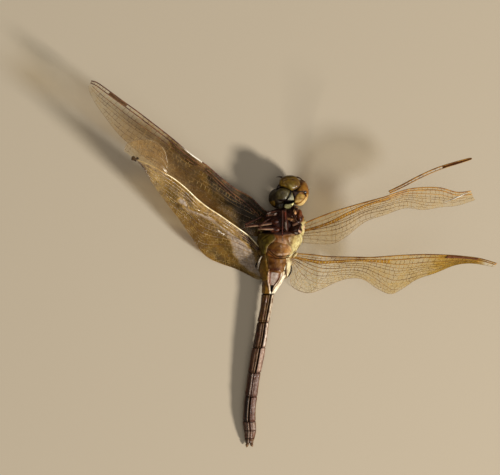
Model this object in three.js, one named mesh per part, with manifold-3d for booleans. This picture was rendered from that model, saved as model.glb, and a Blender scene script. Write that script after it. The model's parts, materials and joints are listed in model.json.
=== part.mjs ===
// A dried dragonfly, a darner, lying on its back with its wings half raised.
// Units are millimetres and +Z is up. The origin is the middle of the flat on the thorax's back,
// on which the insect rests. +Y points to the head and +X to the animal's own left side.
import * as THREE from 'three';
import { mergeVertices } from 'three/addons/utils/BufferGeometryUtils.js';
import Module from 'manifold-3d';

const wasm = await Module();
wasm.setup();

// ---- driving dimensions ----
const FLOOR = 0;                       // level of every flat that the insect rests on
const GAP = 0.3;                       // clearance left where two pieces meet
const WING_THICKNESS = 0.5;            // membrane with its veins
const HEAD_CENTRE = [2.4, 12.5, 7.0];
const HEAD_HALF_WIDTH = 5.7;           // over both eyes
const HEAD_ROLL = 0.08;                // turn about the long axis
const HEAD_YAW = 0.05;                 // turn to the side
const LABIUM_YAW = -0.42;              // the lower lip hangs askew in the dried head
const THORAX_LEAN = 0.32;              // the breast sits further forward than the back
const EYE_RADII = [2.55, 3.65, 3.55];  // of the left eye, still full
const SUNK_EYE_RADII = [2.55, 2.75, 3.4];  // the right eye has dried in from its front end

// ---- finishes ----
const finish = (color, roughness, opacity = 1) => new THREE.MeshStandardMaterial({
  color, roughness, metalness: 0, transparent: opacity < 1, opacity,
});
const eyeFinish = finish(0xa8702a, 0.3);
const faceFinish = finish(0xa8a04c, 0.4);
const lipFinish = finish(0xb9b58a, 0.45);
const mandibleFinish = finish(0x3a1c0c, 0.3);
const thoraxFinish = finish(0x9c9650, 0.5);
const sternumFinish = finish(0xa8692f, 0.4);
const legFinish = finish(0x4a2216, 0.35);
const abdomenFinish = finish(0x6e4038, 0.45);
const wingFinish = finish(0xc9923a, 0.3, 0.6);

// ---- mesh helpers ----
function geometryFrom(positions, indices) {
  const geometry = new THREE.BufferGeometry();
  geometry.setAttribute('position', new THREE.Float32BufferAttribute(positions, 3));
  geometry.setIndex(indices);
  return geometry;
}

// Six times the signed volume, which is negative where the faces point inwards.
function signedVolume(positions, indices) {
  const [a, b, c] = [new THREE.Vector3(), new THREE.Vector3(), new THREE.Vector3()];
  let sum = 0;
  for (let i = 0; i < indices.length; i += 3) {
    a.fromArray(positions, 3 * indices[i]);
    b.fromArray(positions, 3 * indices[i + 1]);
    c.fromArray(positions, 3 * indices[i + 2]);
    sum += a.dot(b.cross(c));
  }
  return sum;
}

function facingOut(positions, indices) {
  if (signedVolume(positions, indices) > 0) return geometryFrom(positions, indices);
  return geometryFrom(positions, [...indices].reverse());
}

// A closed skin over a row of rings with equal counts, with a fan over each end ring.
function loft(rings) {
  const count = rings[0].length;
  const positions = rings.flat().flatMap((p) => [p.x, p.y, p.z]);
  const indices = [];
  for (let r = 0; r + 1 < rings.length; r += 1) {
    for (let i = 0; i < count; i += 1) {
      const [a, b] = [r * count + i, r * count + ((i + 1) % count)];
      indices.push(a, b, a + count, b, b + count, a + count);
    }
  }
  for (const [ring, flip] of [[0, true], [rings.length - 1, false]]) {
    const middle = positions.length / 3;
    const centre = rings[ring].reduce((s, p) => s.add(p), new THREE.Vector3()).divideScalar(count);
    positions.push(centre.x, centre.y, centre.z);
    for (let i = 0; i < count; i += 1) {
      const [a, b] = [ring * count + i, ring * count + ((i + 1) % count)];
      indices.push(...(flip ? [middle, b, a] : [middle, a, b]));
    }
  }
  return facingOut(positions, indices);
}

function solidOf(geometry) {
  const plain = geometry.clone();
  plain.deleteAttribute('normal');
  plain.deleteAttribute('uv');
  const merged = mergeVertices(plain, 1e-4);
  return new wasm.Manifold(new wasm.Mesh({
    numProp: 3,
    vertProperties: new Float32Array(merged.attributes.position.array),
    triVerts: new Uint32Array(merged.index.array),
  }));
}

function geometryOf(solid) {
  const mesh = solid.getMesh();
  return geometryFrom([...mesh.vertProperties], [...mesh.triVerts]);
}

// The first shape with the others cut out of it, keeping its largest piece.
function carve(geometry, ...cutters) {
  let solid = solidOf(geometry);
  for (const cutter of cutters) solid = solid.subtract(solidOf(cutter));
  const pieces = solid.decompose().sort((a, b) => b.volume() - a.volume());
  return geometryOf(pieces[0]);
}

// An egg: a ball stretched to three radii, turned, and set at its centre.
function egg(centre, radii, { turn = [0, 0, 0], around = 16, rows = 10, grow = 0 } = {}) {
  const geometry = new THREE.SphereGeometry(1, around, rows);
  geometry.scale(radii[0] + grow, radii[1] + grow, radii[2] + grow);
  const place = new THREE.Matrix4().makeRotationFromEuler(new THREE.Euler(...turn));
  place.setPosition(...centre);
  return geometry.applyMatrix4(place);
}

// A tapered tube along a smooth path, with rounded ends: [x, y, z, radius] stations.
function limb(stations, { sides = 8, steps = 6, flatten = 1 } = {}) {
  const curve = new THREE.CatmullRomCurve3(stations.map((s) => new THREE.Vector3(s[0], s[1], s[2])));
  const frames = curve.computeFrenetFrames(steps, false);
  const rings = [];
  const ringAt = (centre, radius, k) => Array.from({ length: sides }, (_, i) => {
    const angle = (2 * Math.PI * i) / sides;
    return centre.clone()
      .addScaledVector(frames.normals[k], radius * Math.cos(angle))
      .addScaledVector(frames.binormals[k], radius * flatten * Math.sin(angle));
  });
  for (let k = 0; k <= steps; k += 1) {
    const along = (k / steps) * (stations.length - 1);
    const [low, part] = [Math.min(Math.floor(along), stations.length - 2), along];
    const radius = THREE.MathUtils.lerp(stations[low][3], stations[low + 1][3], part - low);
    const centre = curve.getPoint(k / steps);
    const tangent = frames.tangents[k];
    if (k === 0) rings.push(ringAt(centre.clone().addScaledVector(tangent, -0.5 * radius), 0.6 * radius, k));
    rings.push(ringAt(centre, radius, k));
    if (k === steps) rings.push(ringAt(centre.clone().addScaledVector(tangent, 0.5 * radius), 0.6 * radius, k));
  }
  return loft(rings);
}

// ---- trunk: one row of cross-sections from neck to tail ----
// [y, centre x, half width, centre z, half height]
const THORAX_SECTIONS = [
  [7.7, 1.5, 2.6, 6.3, 2.6],
  [6.3, 1.0, 4.6, 6.0, 4.4],
  [4.2, 0.6, 5.9, 5.62, 5.76],
  [1.6, 0.3, 6.4, 5.6, 6.0],
  [-1.2, 0.0, 6.2, 5.5, 6.0],
  [-3.8, -0.3, 5.4, 5.4, 5.6],
  [-5.8, -0.7, 4.4, 5.2, 4.8],
  [-7.0, -0.9, 3.5, 5.1, 4.0],
];
const ABDOMEN_SECTIONS = [
  [-7.2, -1.0, 3.6, 5.0, 4.0],
  [-9.4, -1.2, 4.1, 4.8, 4.2],
  [-11.5, -1.7, 3.3, 4.6, 3.6],
  [-13.4, -2.3, 2.4, 4.4, 2.7],
  [-15.8, -3.3, 1.8, 4.2, 2.0],
  [-23.7, -4.9, 1.65, 3.8, 1.75],
  [-30.8, -5.8, 1.6, 3.4, 1.7],
  [-37.9, -7.0, 1.65, 2.9, 1.65],
  [-44.7, -8.0, 1.8, 2.4, 1.65],
  [-51.9, -8.6, 1.65, 1.8, 1.6],
  [-54.5, -8.5, 1.5, 1.55, 1.5],
  [-56.8, -8.3, 1.25, 1.25, 1.25],
  [-58.2, -8.2, 0.95, 1.1, 1.05],
];
const SEGMENT_JOINTS = [-7.3, -9.1, -15.8, -23.7, -30.8, -37.9, -44.7, -51.9, -54.5, -56.8, -58.2];

function sectionAt(sections, y) {
  let k = 0;
  while (k < sections.length - 2 && sections[k + 1][0] > y) k += 1;
  const [from, to] = [sections[k], sections[k + 1]];
  const part = THREE.MathUtils.clamp((from[0] - y) / (from[0] - to[0]), 0, 1);
  return from.map((value, i) => THREE.MathUtils.lerp(value, to[i], part));
}

// One ring of the trunk. The groove presses the belly in along its middle line.
function trunkRing(section, { sides = 16, lean = 0, groove = 0, grow = 0, square = 0.9 }) {
  const [y, x, halfWidth, z, halfHeight] = section;
  return Array.from({ length: sides }, (_, i) => {
    const angle = (2 * Math.PI * (i + 0.5)) / sides;
    const [cos, sin] = [Math.cos(angle), Math.sin(angle)];
    const round = (value) => Math.sign(value) * Math.abs(value) ** square;
    const dip = sin > 0 ? groove * Math.exp(-((cos / 0.3) ** 2)) : 0;
    const height = (halfHeight + grow) * round(sin) - dip;
    return new THREE.Vector3(
      x + (halfWidth + grow) * round(cos),
      y + lean * height,
      Math.max(FLOOR, z + height),
    );
  });
}

function trunkPiece(sections, from, to, options = {}) {
  const { rings = 4, swell = 0 } = options;
  return loft(Array.from({ length: rings + 1 }, (_, k) => {
    const section = sectionAt(sections, THREE.MathUtils.lerp(from, to, k / rings));
    const flare = swell * (k === 0 || k === rings ? 1 : 0);
    section[2] += flare;
    section[4] += flare;
    return trunkRing(section, options);
  }));
}

// ---- scene graph ----
const dragonfly = new THREE.Group();
function addNode(parent, name, geometry, material) {
  const mesh = new THREE.Mesh(geometry, material);
  mesh.name = name;
  parent.add(mesh);
}

// ---- head: capsule, two great eyes, face, jaws, lower lip and feelers ----
// Its pieces are shaped about the head's own centre and then set in place by one matrix.
const head = new THREE.Group();
dragonfly.add(head);
const headPlace = new THREE.Matrix4().makeRotationFromEuler(new THREE.Euler(0, HEAD_ROLL, HEAD_YAW));
headPlace.setPosition(...HEAD_CENTRE);
const headEgg = (...sizes) => egg(...sizes).applyMatrix4(headPlace);

const eyeAt = (side) => [side * (HEAD_HALF_WIDTH - EYE_RADII[0]), side > 0 ? -0.2 : -1.35, -0.5];
const eyeRadii = (side) => (side > 0 ? EYE_RADII : SUNK_EYE_RADII);
const eyeEgg = (side, grow = 0) => headEgg(eyeAt(side), eyeRadii(side), {
  turn: [0, 0, -0.12 * side], grow, around: side > 0 ? 16 : 14, rows: side > 0 ? 11 : 9,
});
const faceEgg = (grow = 0) => headEgg([0.15, 2.15, 1.1], [2.7, 2.3, 2.6], { grow, around: 14, rows: 10 });
const capsuleEgg = (grow = 0) => headEgg([0, -0.5, 0.1], [3.6, 3.3, 3.0], { grow, around: 12, rows: 8 });
const turned = (x, y) => [
  x * Math.cos(LABIUM_YAW) - y * Math.sin(LABIUM_YAW),
  x * Math.sin(LABIUM_YAW) + y * Math.cos(LABIUM_YAW),
];
const labiumEgg = (side, grow = 0) => {
  const [x, y] = turned(side * 1.75, -0.9);
  return headEgg([x, y, 2.15], [1.65, 2.0, 1.45], { turn: [0, 0, LABIUM_YAW], grow, around: 12, rows: 8 });
};
const mentumEgg = (grow = 0) => {
  const [x, y] = turned(0.1, -3.6);
  return headEgg([x, y, 1.2], [2.1, 1.1, 1.5], { turn: [0, 0, LABIUM_YAW], grow, around: 10, rows: 7 });
};
const mandibleAt = { '-1': [-2.75, 1.75, 2.3], 1: [2.35, 0.45, 2.3] };
const mandibleEgg = (side, grow = 0) => headEgg(mandibleAt[side], [1.15, 1.1, 1.4], { grow, around: 8, rows: 6 });

// The two eyes meet on the crown, so each is cut back to its own side of the middle plane.
const halfSpace = (side) => new THREE.BoxGeometry(10, 20, 20)
  .translate(-side * (5 - 0.5 * GAP), 0, 0).applyMatrix4(headPlace);
for (const [name, side] of [['eye_right', -1], ['eye_left', 1]]) {
  addNode(head, name, carve(eyeEgg(side), halfSpace(side), faceEgg(GAP)), eyeFinish);
}
const eyesGrown = [eyeEgg(-1, GAP), eyeEgg(1, GAP)];
addNode(head, 'face', faceEgg(), faceFinish);
addNode(head, 'labium_right', carve(labiumEgg(-1), faceEgg(GAP), ...eyesGrown), lipFinish);
addNode(head, 'labium_left',
  carve(labiumEgg(1), faceEgg(GAP), labiumEgg(-1, GAP), ...eyesGrown), lipFinish);
const lipsGrown = [labiumEgg(-1, GAP), labiumEgg(1, GAP)];
addNode(head, 'mentum', carve(mentumEgg(), ...lipsGrown, ...eyesGrown), lipFinish);
for (const [name, side] of [['mandible_right', -1], ['mandible_left', 1]]) {
  addNode(head, name, carve(mandibleEgg(side), faceEgg(GAP), ...lipsGrown, ...eyesGrown), mandibleFinish);
}
const mandiblesGrown = [-1, 1].map((side) => mandibleEgg(side, GAP));
addNode(head, 'head_capsule',
  carve(capsuleEgg(), ...eyesGrown, faceEgg(GAP), ...lipsGrown, mentumEgg(GAP), ...mandiblesGrown), faceFinish);
for (const [name, side] of [['antenna_right', -1], ['antenna_left', 1]]) {
  const stations = [[side * 1.4, 4.35, -0.5, 0.32], [side * 1.9, 4.75, -0.6, 0.27], [side * 3.6, 5.0, 0.3, 0.25]];
  const feeler = limb(stations, { sides: 6, steps: 4 }).applyMatrix4(headPlace);
  addNode(head, name, carve(feeler, faceEgg(GAP), ...eyesGrown), legFinish);
}

// ---- thorax: prothorax, two halves of the main box, and the breast plate between the hind legs ----
const sternumEgg = (grow = 0) => egg([-0.2, -3.0, 9.5], [3.3, 2.6, 1.9], { turn: [0.12, 0, 0], grow, around: 14, rows: 8 });
const THORAX_SPLIT = 0.4;
const thoraxOptions = { sides: 16, lean: THORAX_LEAN, rings: 4 };
const wholeThorax = (grow) => trunkPiece(THORAX_SECTIONS, 7.7, -7.0, { ...thoraxOptions, rings: 8, grow });
const coxae = {
  fore_right: [-0.2, 6.3, 10.2], fore_left: [2.4, 6.2, 10.3],
  mid_right: [-1.0, 4.4, 10.8], mid_left: [2.7, 4.1, 10.8],
  hind_right: [-1.2, 2.1, 11.0], hind_left: [2.4, 1.6, 11.0],
};
const coxaEgg = (key, grow = 0) => egg(coxae[key], [1.15, 0.95, 1.25], { grow, around: 8, rows: 6 });
const coxaeGrown = Object.keys(coxae).map((key) => coxaEgg(key, GAP));
const prothoraxEgg = (grow = 0) => egg([1.9, 8.0, 6.4], [2.5, 1.5, 2.9], { grow, around: 12, rows: 8 });
addNode(dragonfly, 'mesothorax', carve(
  trunkPiece(THORAX_SECTIONS, 7.7, THORAX_SPLIT + GAP / 2, thoraxOptions),
  ...coxaeGrown, sternumEgg(GAP), prothoraxEgg(GAP),
), thoraxFinish);
addNode(dragonfly, 'metathorax', carve(
  trunkPiece(THORAX_SECTIONS, THORAX_SPLIT - GAP / 2, -7.0, thoraxOptions),
  ...coxaeGrown, sternumEgg(GAP),
), thoraxFinish);
addNode(dragonfly, 'sternum', sternumEgg(), sternumFinish);

addNode(dragonfly, 'prothorax', carve(
  prothoraxEgg(), ...eyesGrown, mentumEgg(GAP), capsuleEgg(GAP), ...coxaeGrown,
), legFinish);

// ---- legs: coxa, femur and shin of each, folded over the breast ----
// knee is the far end of the femur; toe is the far end of the shin with its foot.
const LEGS = {
  fore_right: { hip: [-0.9, 6.5, 11.3], knee: [-3.9, 6.3, 11.8], shin: [-3.6, 7.0, 12.5], toe: [-0.3, 7.3, 12.9] },
  mid_right: { hip: [-2.1, 4.1, 11.9], knee: [-9.5, 2.9, 12.7], shin: [-9.4, 3.6, 13.5], toe: [-5.1, 5.6, 13.9] },
  hind_right: { hip: [-2.3, 2.0, 12.1], knee: [-6.2, 1.9, 12.9], shin: [-6.0, 2.6, 13.7], toe: [-3.2, 5.2, 14.2] },
  fore_left: { hip: [3.3, 6.9, 11.2], knee: [5.6, 6.7, 12.0], shin: [5.5, 6.2, 12.8], toe: [2.6, 4.9, 13.6] },
  mid_left: { hip: [3.8, 3.9, 11.7], knee: [6.6, 4.4, 11.9], shin: [6.5, 3.7, 12.6], toe: [3.6, 1.4, 13.4] },
  hind_left: { hip: [1.3, 1.8, 12.3], knee: [0.9, 8.0, 13.5], shin: [0.2, 7.7, 14.2], toe: [-0.1, -0.9, 13.6] },
};
for (const [key, leg] of Object.entries(LEGS)) {
  addNode(dragonfly, `leg_${key}_coxa`, coxaEgg(key), legFinish);
  const bend = (from, to, rise) => from.map((v, i) => 0.5 * (v + to[i]) + (i === 2 ? rise : 0));
  const femur = limb([
    [...leg.hip, 0.5], [...bend(leg.hip, leg.knee, 0.15), 0.55], [...leg.knee, 0.4],
  ], { sides: 8, steps: 4 });
  const shin = limb([
    [...leg.shin, 0.35], [...bend(leg.shin, leg.toe, 0.1), 0.3], [...leg.toe, 0.25],
  ], { sides: 6, steps: 4 });
  addNode(dragonfly, `leg_${key}_femur`, carve(femur, ...coxaeGrown), legFinish);
  addNode(dragonfly, `leg_${key}_tibia`, shin, legFinish);
}

// ---- abdomen: ten rings, grooved below, the last two resting on the floor ----
for (let k = 0; k < 10; k += 1) {
  const front = SEGMENT_JOINTS[k] - GAP / 2;
  const back = SEGMENT_JOINTS[k + 1] + GAP / 2;
  const basal = k < 2;
  const segment = trunkPiece(ABDOMEN_SECTIONS, front, back, {
    sides: 16, rings: k === 1 ? 5 : 2, groove: basal ? 0.35 : 0.5, swell: basal ? 0 : 0.08,
  });
  const cut = k === 0 ? carve(segment, wholeThorax(GAP)) : segment;
  addNode(dragonfly, `abdomen_${String(k + 1).padStart(2, '0')}`, cut, abdomenFinish);
}
for (const [name, side] of [['cercus_right', -1], ['cercus_left', 1]]) {
  const stations = [[-8.2 + side * 0.45, -58.5, 1.2, 0.28], [-8.2 + side * 0.65, -59.5, 1.1, 0.4],
    [-8.2 + side * 0.6, -60.4, 0.9, 0.25]];
  addNode(dragonfly, name, limb(stations, { sides: 6, steps: 3, flatten: 0.7 }), legFinish);
}

// ---- wings ----
// A wing is a thin blade over a row of ribs, each from the leading edge to the trailing edge.
// relief(s, t) lifts it, with s from root to tip and t from front to back.
function blade(ribs, { spans, chords = 5, relief = () => 0, thickness = WING_THICKNESS }) {
  const edge = (k) => new THREE.CatmullRomCurve3(ribs.map((rib) => new THREE.Vector3(...rib[k])));
  const [lead, trail] = [edge(0), edge(1)];
  const middle = (s, t) => {
    const point = lead.getPoint(s).lerp(trail.getPoint(s), t);
    point.z += relief(s, t);
    return point;
  };
  const step = 0.01;
  const normalAt = (s, t) => {
    const [s0, s1] = [Math.max(0, s - step), Math.min(1, s + step)];
    const [t0, t1] = [Math.max(0, t - step), Math.min(1, t + step)];
    const along = middle(s1, t).sub(middle(s0, t));
    const across = middle(s, t1).sub(middle(s, t0));
    const normal = along.cross(across).normalize();
    return normal.z < 0 ? normal.negate() : normal;
  };
  const positions = [];
  for (const face of [0.5, -0.5]) {
    for (let i = 0; i <= spans; i += 1) {
      for (let j = 0; j <= chords; j += 1) {
        const [s, t] = [i / spans, j / chords];
        const point = middle(s, t).addScaledVector(normalAt(s, t), face * thickness);
        const level = face > 0 ? FLOOR + thickness : FLOOR;
        positions.push(point.x, point.y, Math.max(level, point.z));
      }
    }
  }
  const row = chords + 1;
  const layer = (spans + 1) * row;
  const indices = [];
  const quad = (a, b, c, d) => indices.push(a, b, c, a, c, d);
  for (let i = 0; i < spans; i += 1) {
    for (let j = 0; j < chords; j += 1) {
      const a = i * row + j;
      quad(a, a + 1, a + 1 + row, a + row);
      quad(layer + a, layer + a + row, layer + a + 1 + row, layer + a + 1);
    }
  }
  for (let i = 0; i < spans; i += 1) {
    const [front, back] = [i * row, i * row + chords];
    quad(front, front + row, layer + front + row, layer + front);
    quad(back + row, back, layer + back, layer + back + row);
  }
  for (let j = 0; j < chords; j += 1) {
    const [root, tip] = [j, spans * row + j];
    quad(root + 1, root, layer + root, layer + root + 1);
    quad(tip, tip + 1, layer + tip + 1, layer + tip);
  }
  return facingOut(positions, indices);
}

// Each rib is [leading edge point, trailing edge point].
const WING_RIBS = {
  forewing_left: [
    [[3.5, 2.4, 3.2], [3.5, -1.8, 3.0]],
    [[6.5, 3.8, 4.5], [6.6, -1.5, 3.5]],
    [[13.7, 6.7, 8.0], [14.0, -1.8, 5.0]],
    [[18.3, 8.2, 11.0], [17.9, -0.1, 6.0]],
    [[22.8, 9.5, 14.0], [23.5, 4.3, 7.0]],
    [[27.3, 10.7, 17.0], [28.9, 6.3, 9.5]],
    [[33.0, 12.6, 18.0], [33.9, 8.0, 11.0]],
    [[37.4, 13.1, 19.0], [38.6, 7.5, 12.5]],
    [[41.6, 12.9, 20.0], [43.1, 8.2, 14.0]],
    [[45.8, 11.8, 20.0], [46.9, 8.5, 15.5]],
    [[49.3, 12.1, 20.5], [50.9, 9.9, 18.5]],
  ],
  hindwing_left: [
    [[2.4, -5.2, 3.0], [1.0, -7.5, 2.5]],
    [[4.8, -4.6, 4.5], [3.0, -9.7, 2.2]],
    [[8.9, -4.8, 7.0], [3.6, -13.8, 1.2]],
    [[12.3, -5.2, 9.0], [7.9, -15.8, 0.2]],
    [[15.6, -5.3, 11.5], [11.8, -14.7, 1.2]],
    [[18.6, -5.3, 13.5], [15.3, -12.8, 3.5]],
    [[21.3, -5.3, 15.5], [18.9, -11.4, 6.5]],
    [[23.7, -5.3, 17.0], [22.7, -11.5, 9.0]],
    [[27.4, -5.0, 18.8], [26.7, -14.1, 9.5]],
    [[30.9, -4.7, 20.2], [30.1, -15.4, 10.5]],
    [[34.3, -4.5, 21.5], [33.1, -13.8, 12.0]],
    [[37.6, -4.4, 23.0], [36.3, -11.2, 15.0]],
    [[42.0, -4.5, 25.0], [40.6, -9.3, 18.5]],
    [[45.9, -4.8, 26.7], [44.6, -7.2, 22.5]],
    [[49.5, -5.3, 28.3], [48.1, -6.6, 26.0]],
    [[53.3, -6.5, 30.0], [53.0, -7.4, 29.2]],
  ],
  forewing_right: [
    [[-2.1, 6.6, 3.2], [-3.2, 0.1, 2.5]],
    [[-4.4, 7.7, 4.0], [-6.6, 0.4, 3.0]],
    [[-8.3, 11.3, 5.5], [-10.3, 1.3, 3.5]],
    [[-12.6, 13.6, 7.0], [-14.5, 4.3, 4.2]],
    [[-16.3, 16.4, 8.5], [-18.6, 7.7, 5.0]],
    [[-19.9, 19.5, 10.0], [-23.0, 11.0, 6.0]],
    [[-24.6, 22.8, 11.5], [-28.2, 14.5, 7.5]],
    [[-29.3, 26.7, 13.0], [-33.5, 19.1, 9.0]],
    [[-33.7, 30.1, 14.5], [-39.0, 23.5, 11.0]],
    [[-38.1, 33.4, 16.0], [-43.7, 27.8, 12.5]],
    [[-42.1, 36.2, 17.5], [-47.1, 32.3, 14.5]],
    [[-45.7, 38.8, 18.5], [-49.5, 35.8, 16.0]],
    [[-48.4, 40.6, 19.3], [-50.6, 38.4, 17.8]],
    [[-49.9, 41.0, 19.5], [-50.7, 39.8, 18.8]],
  ],
  hindwing_right: [
    [[-3.2, -4.1, 3.0], [-1.5, -8.0, 2.5]],
    [[-4.9, -3.5, 4.0], [-4.1, -10.9, 1.8]],
    [[-8.3, 0.1, 5.5], [-6.0, -11.9, 1.0]],
    [[-11.6, 2.6, 7.5], [-9.2, -10.4, 0.4]],
    [[-14.7, 4.8, 9.5], [-12.6, -8.8, 0.2]],
    [[-17.2, 6.5, 11.7], [-16.3, -7.5, 1.0]],
    [[-19.7, 8.1, 14.0], [-19.5, -6.0, 3.2]],
    [[-22.2, 10.1, 16.5], [-21.9, -3.8, 6.0]],
    [[-25.1, 12.9, 19.0], [-24.8, 0.7, 9.0]],
    [[-27.8, 15.1, 21.3], [-27.5, 5.0, 12.5]],
    [[-30.7, 16.8, 23.4], [-30.1, 8.7, 16.0]],
    [[-33.8, 18.4, 25.0], [-32.9, 12.9, 20.5]],
    [[-36.3, 19.4, 26.0], [-35.7, 17.8, 24.2]],
    [[-37.0, 19.7, 26.2], [-36.7, 19.1, 25.6]],
  ],
};
// The outer end of the right hindwing has folded forward over its own leading edge.
const FOLDED_TIP_RIBS = [
  [[-29.3, 19.0, 25.2], [-29.6, 15.9, 23.6]],
  [[-30.1, 22.2, 26.6], [-31.3, 16.9, 24.7]],
  [[-32.5, 24.2, 27.7], [-33.5, 18.0, 25.8]],
  [[-36.0, 24.7, 28.2], [-35.5, 18.8, 26.7]],
  [[-39.1, 23.6, 28.1], [-36.7, 19.4, 27.0]],
  [[-40.1, 21.8, 27.8], [-37.5, 19.8, 27.2]],
];
// The left forewing's leading edge has split from the membrane beyond the node and stands up alone.
const COSTAL_STRIP = [
  [28.4, 11.9, 18.3, 0.45], [31.4, 13.4, 20.3, 0.45], [35.4, 15.6, 23.3, 0.5],
  [39.9, 17.6, 26.3, 0.6], [45.6, 19.3, 30.0, 0.55], [46.8, 19.6, 30.9, 0.3],
];

// Pleats along the wing: strong at the front edge, fading to the rear.
const PLEAT_HEIGHT = 0.3;
const pleats = (s, t) => PLEAT_HEIGHT * (1 - t) * Math.sin(5 * Math.PI * t) * (1 - s);
// A crumple that runs down the middle of a drying wing: a ridge of given height, place and width.
const ridge = (height, across, width, from, to) => (s, t) => (
  height * Math.exp(-(((t - across) / width) ** 2)) * Math.exp(-(((s - 0.5 * (from + to)) / (to - from)) ** 2))
);
const crumple = ridge(1.3, 0.42, 0.2, 0.2, 0.6);
const sag = ridge(-1.2, 0.6, 0.3, 0.3, 0.8);
const WING_RELIEF = {
  forewing_left: (s, t) => pleats(s, t) + sag(s, t),
  hindwing_left: (s, t) => pleats(s, t) + 0.8 * sag(s, t),
  forewing_right: (s, t) => pleats(s, t) + 0.6 * sag(s, t),
  hindwing_right: (s, t) => pleats(s, t) + crumple(s, t),
};
const abdomenBase = trunkPiece(ABDOMEN_SECTIONS, -7.2, -15.8, { sides: 16, rings: 8, grow: GAP });
for (const [name, ribs] of Object.entries(WING_RIBS)) {
  const wing = blade(ribs, { spans: ribs.length - 1, chords: 5, relief: WING_RELIEF[name] });
  addNode(dragonfly, name, carve(wing, wholeThorax(GAP), abdomenBase), wingFinish);
}
addNode(dragonfly, 'hindwing_right_tip', blade(FOLDED_TIP_RIBS, { spans: 6, chords: 2 }), wingFinish);
addNode(dragonfly, 'forewing_left_edge', limb(COSTAL_STRIP, { sides: 6, steps: 10, flatten: 0.6 }), wingFinish);

export default dragonfly;
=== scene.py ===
# A dried darner dragonfly on its back, life size: shell plates, grooved tail rings, folded legs
# and amber wings with every vein as a tube. Sizes are in millimetres until a piece is finished.
import json
import math
import random

import bmesh
import bpy
from mathutils import Euler, Matrix, Vector, noise

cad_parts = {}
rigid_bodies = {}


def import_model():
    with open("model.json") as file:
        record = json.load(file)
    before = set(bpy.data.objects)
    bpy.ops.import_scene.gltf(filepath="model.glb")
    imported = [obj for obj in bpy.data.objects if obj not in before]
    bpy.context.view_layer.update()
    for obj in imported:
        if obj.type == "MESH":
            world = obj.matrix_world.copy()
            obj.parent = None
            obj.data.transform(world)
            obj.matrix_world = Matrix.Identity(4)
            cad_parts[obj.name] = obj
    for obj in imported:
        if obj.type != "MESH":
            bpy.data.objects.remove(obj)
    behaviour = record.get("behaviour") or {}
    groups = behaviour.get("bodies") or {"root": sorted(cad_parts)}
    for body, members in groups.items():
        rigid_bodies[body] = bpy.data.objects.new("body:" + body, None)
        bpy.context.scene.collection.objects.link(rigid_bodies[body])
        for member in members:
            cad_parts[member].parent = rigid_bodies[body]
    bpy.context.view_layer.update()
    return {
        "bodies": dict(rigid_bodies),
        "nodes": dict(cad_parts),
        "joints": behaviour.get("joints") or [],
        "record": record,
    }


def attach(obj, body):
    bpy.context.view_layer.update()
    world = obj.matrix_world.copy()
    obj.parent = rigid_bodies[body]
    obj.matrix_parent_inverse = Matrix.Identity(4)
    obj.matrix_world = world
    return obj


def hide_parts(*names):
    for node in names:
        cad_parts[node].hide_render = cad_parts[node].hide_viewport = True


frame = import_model()

# ---- table, lights and camera ----
# A pale matt table top, one soft lamp low on the lower right and a wide dim one overhead. The camera
# looks straight down from a hand's height, with the dragonfly's head at the top.
MM = 0.001
CAMERA_HEIGHT = 240.0
CAMERA_X = -8.3
VIEW_WIDTH = 142.5                     # of table top across the picture
SENSOR = 36.0
TABLE_COLOUR = (0.44, 0.375, 0.28, 1)
TABLE_HALF = 1500.0
# [place, size, watts, colour]
LAMPS = {
    "low_lamp": [(1140, -780, 900), 240, 39.4, (1.0, 0.95, 0.87)],
    "high_lamp": [(120, -90, 900), 700, 2.4, (1.0, 0.97, 0.93)],
}
ROOM_COLOUR = (1.0, 0.95, 0.88, 1)
ROOM_STRENGTH = 0.15

stage_scene = bpy.context.scene
stage_scene.view_settings.view_transform = "Standard"
table_mesh = bmesh.new()
bmesh.ops.create_grid(table_mesh, x_segments=1, y_segments=1, size=TABLE_HALF * MM)
table_data = bpy.data.meshes.new("table_top")
table_mesh.to_mesh(table_data)
table_mesh.free()
table = bpy.data.objects.new("table_top", table_data)
stage_scene.collection.objects.link(table)
table_paint = bpy.data.materials.new("table_top")
table_paint.use_nodes = True
table_paint.node_tree.nodes["Principled BSDF"].inputs["Base Color"].default_value = TABLE_COLOUR
table_paint.node_tree.nodes["Principled BSDF"].inputs["Roughness"].default_value = 0.9
table_data.materials.append(table_paint)

for lamp_name, (lamp_place, lamp_size, lamp_watts, lamp_colour) in LAMPS.items():
    lamp_data = bpy.data.lights.new(lamp_name, "AREA")
    lamp_data.shape = "DISK"
    lamp_data.size = lamp_size * MM
    lamp_data.energy = lamp_watts
    lamp_data.color = lamp_colour
    lamp = bpy.data.objects.new(lamp_name, lamp_data)
    lamp.location = Vector(lamp_place) * MM
    lamp.rotation_euler = (-Vector(lamp_place)).to_track_quat("-Z", "Y").to_euler()
    stage_scene.collection.objects.link(lamp)

stage_scene.world = bpy.data.worlds.new("soft_room")
stage_scene.world.use_nodes = True
room = stage_scene.world.node_tree.nodes["Background"]
room.inputs["Color"].default_value = ROOM_COLOUR
room.inputs["Strength"].default_value = ROOM_STRENGTH

camera_data = bpy.data.cameras.new("camera")
camera_data.sensor_width = SENSOR
camera_data.lens = SENSOR * CAMERA_HEIGHT / VIEW_WIDTH
camera_data.clip_start = 0.01
camera = bpy.data.objects.new("camera", camera_data)
camera.location = (CAMERA_X * MM, 0, CAMERA_HEIGHT * MM)
stage_scene.collection.objects.link(camera)
stage_scene.camera = camera

# ---- thorax ----
# The box that carries legs and wings: two leaning shells of horny plate, one behind the other, with
# the seams between the plates pressed in. Dried, its green has gone to olive and straw; the right
# side's olive is in part painted shade and the left side's straw and pale green in part painted light.
THORAX_LEAN = 0.32                     # the breast sits further forward than the back
THORAX_SPLIT = 0.4                     # y of the seam between its two halves
TRUNK_ROUNDNESS = 0.9                  # 1 is an ellipse in cross section, and less is boxier
LEAN_STEPS = 8                         # in finding where a leaning section meets a place
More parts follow.
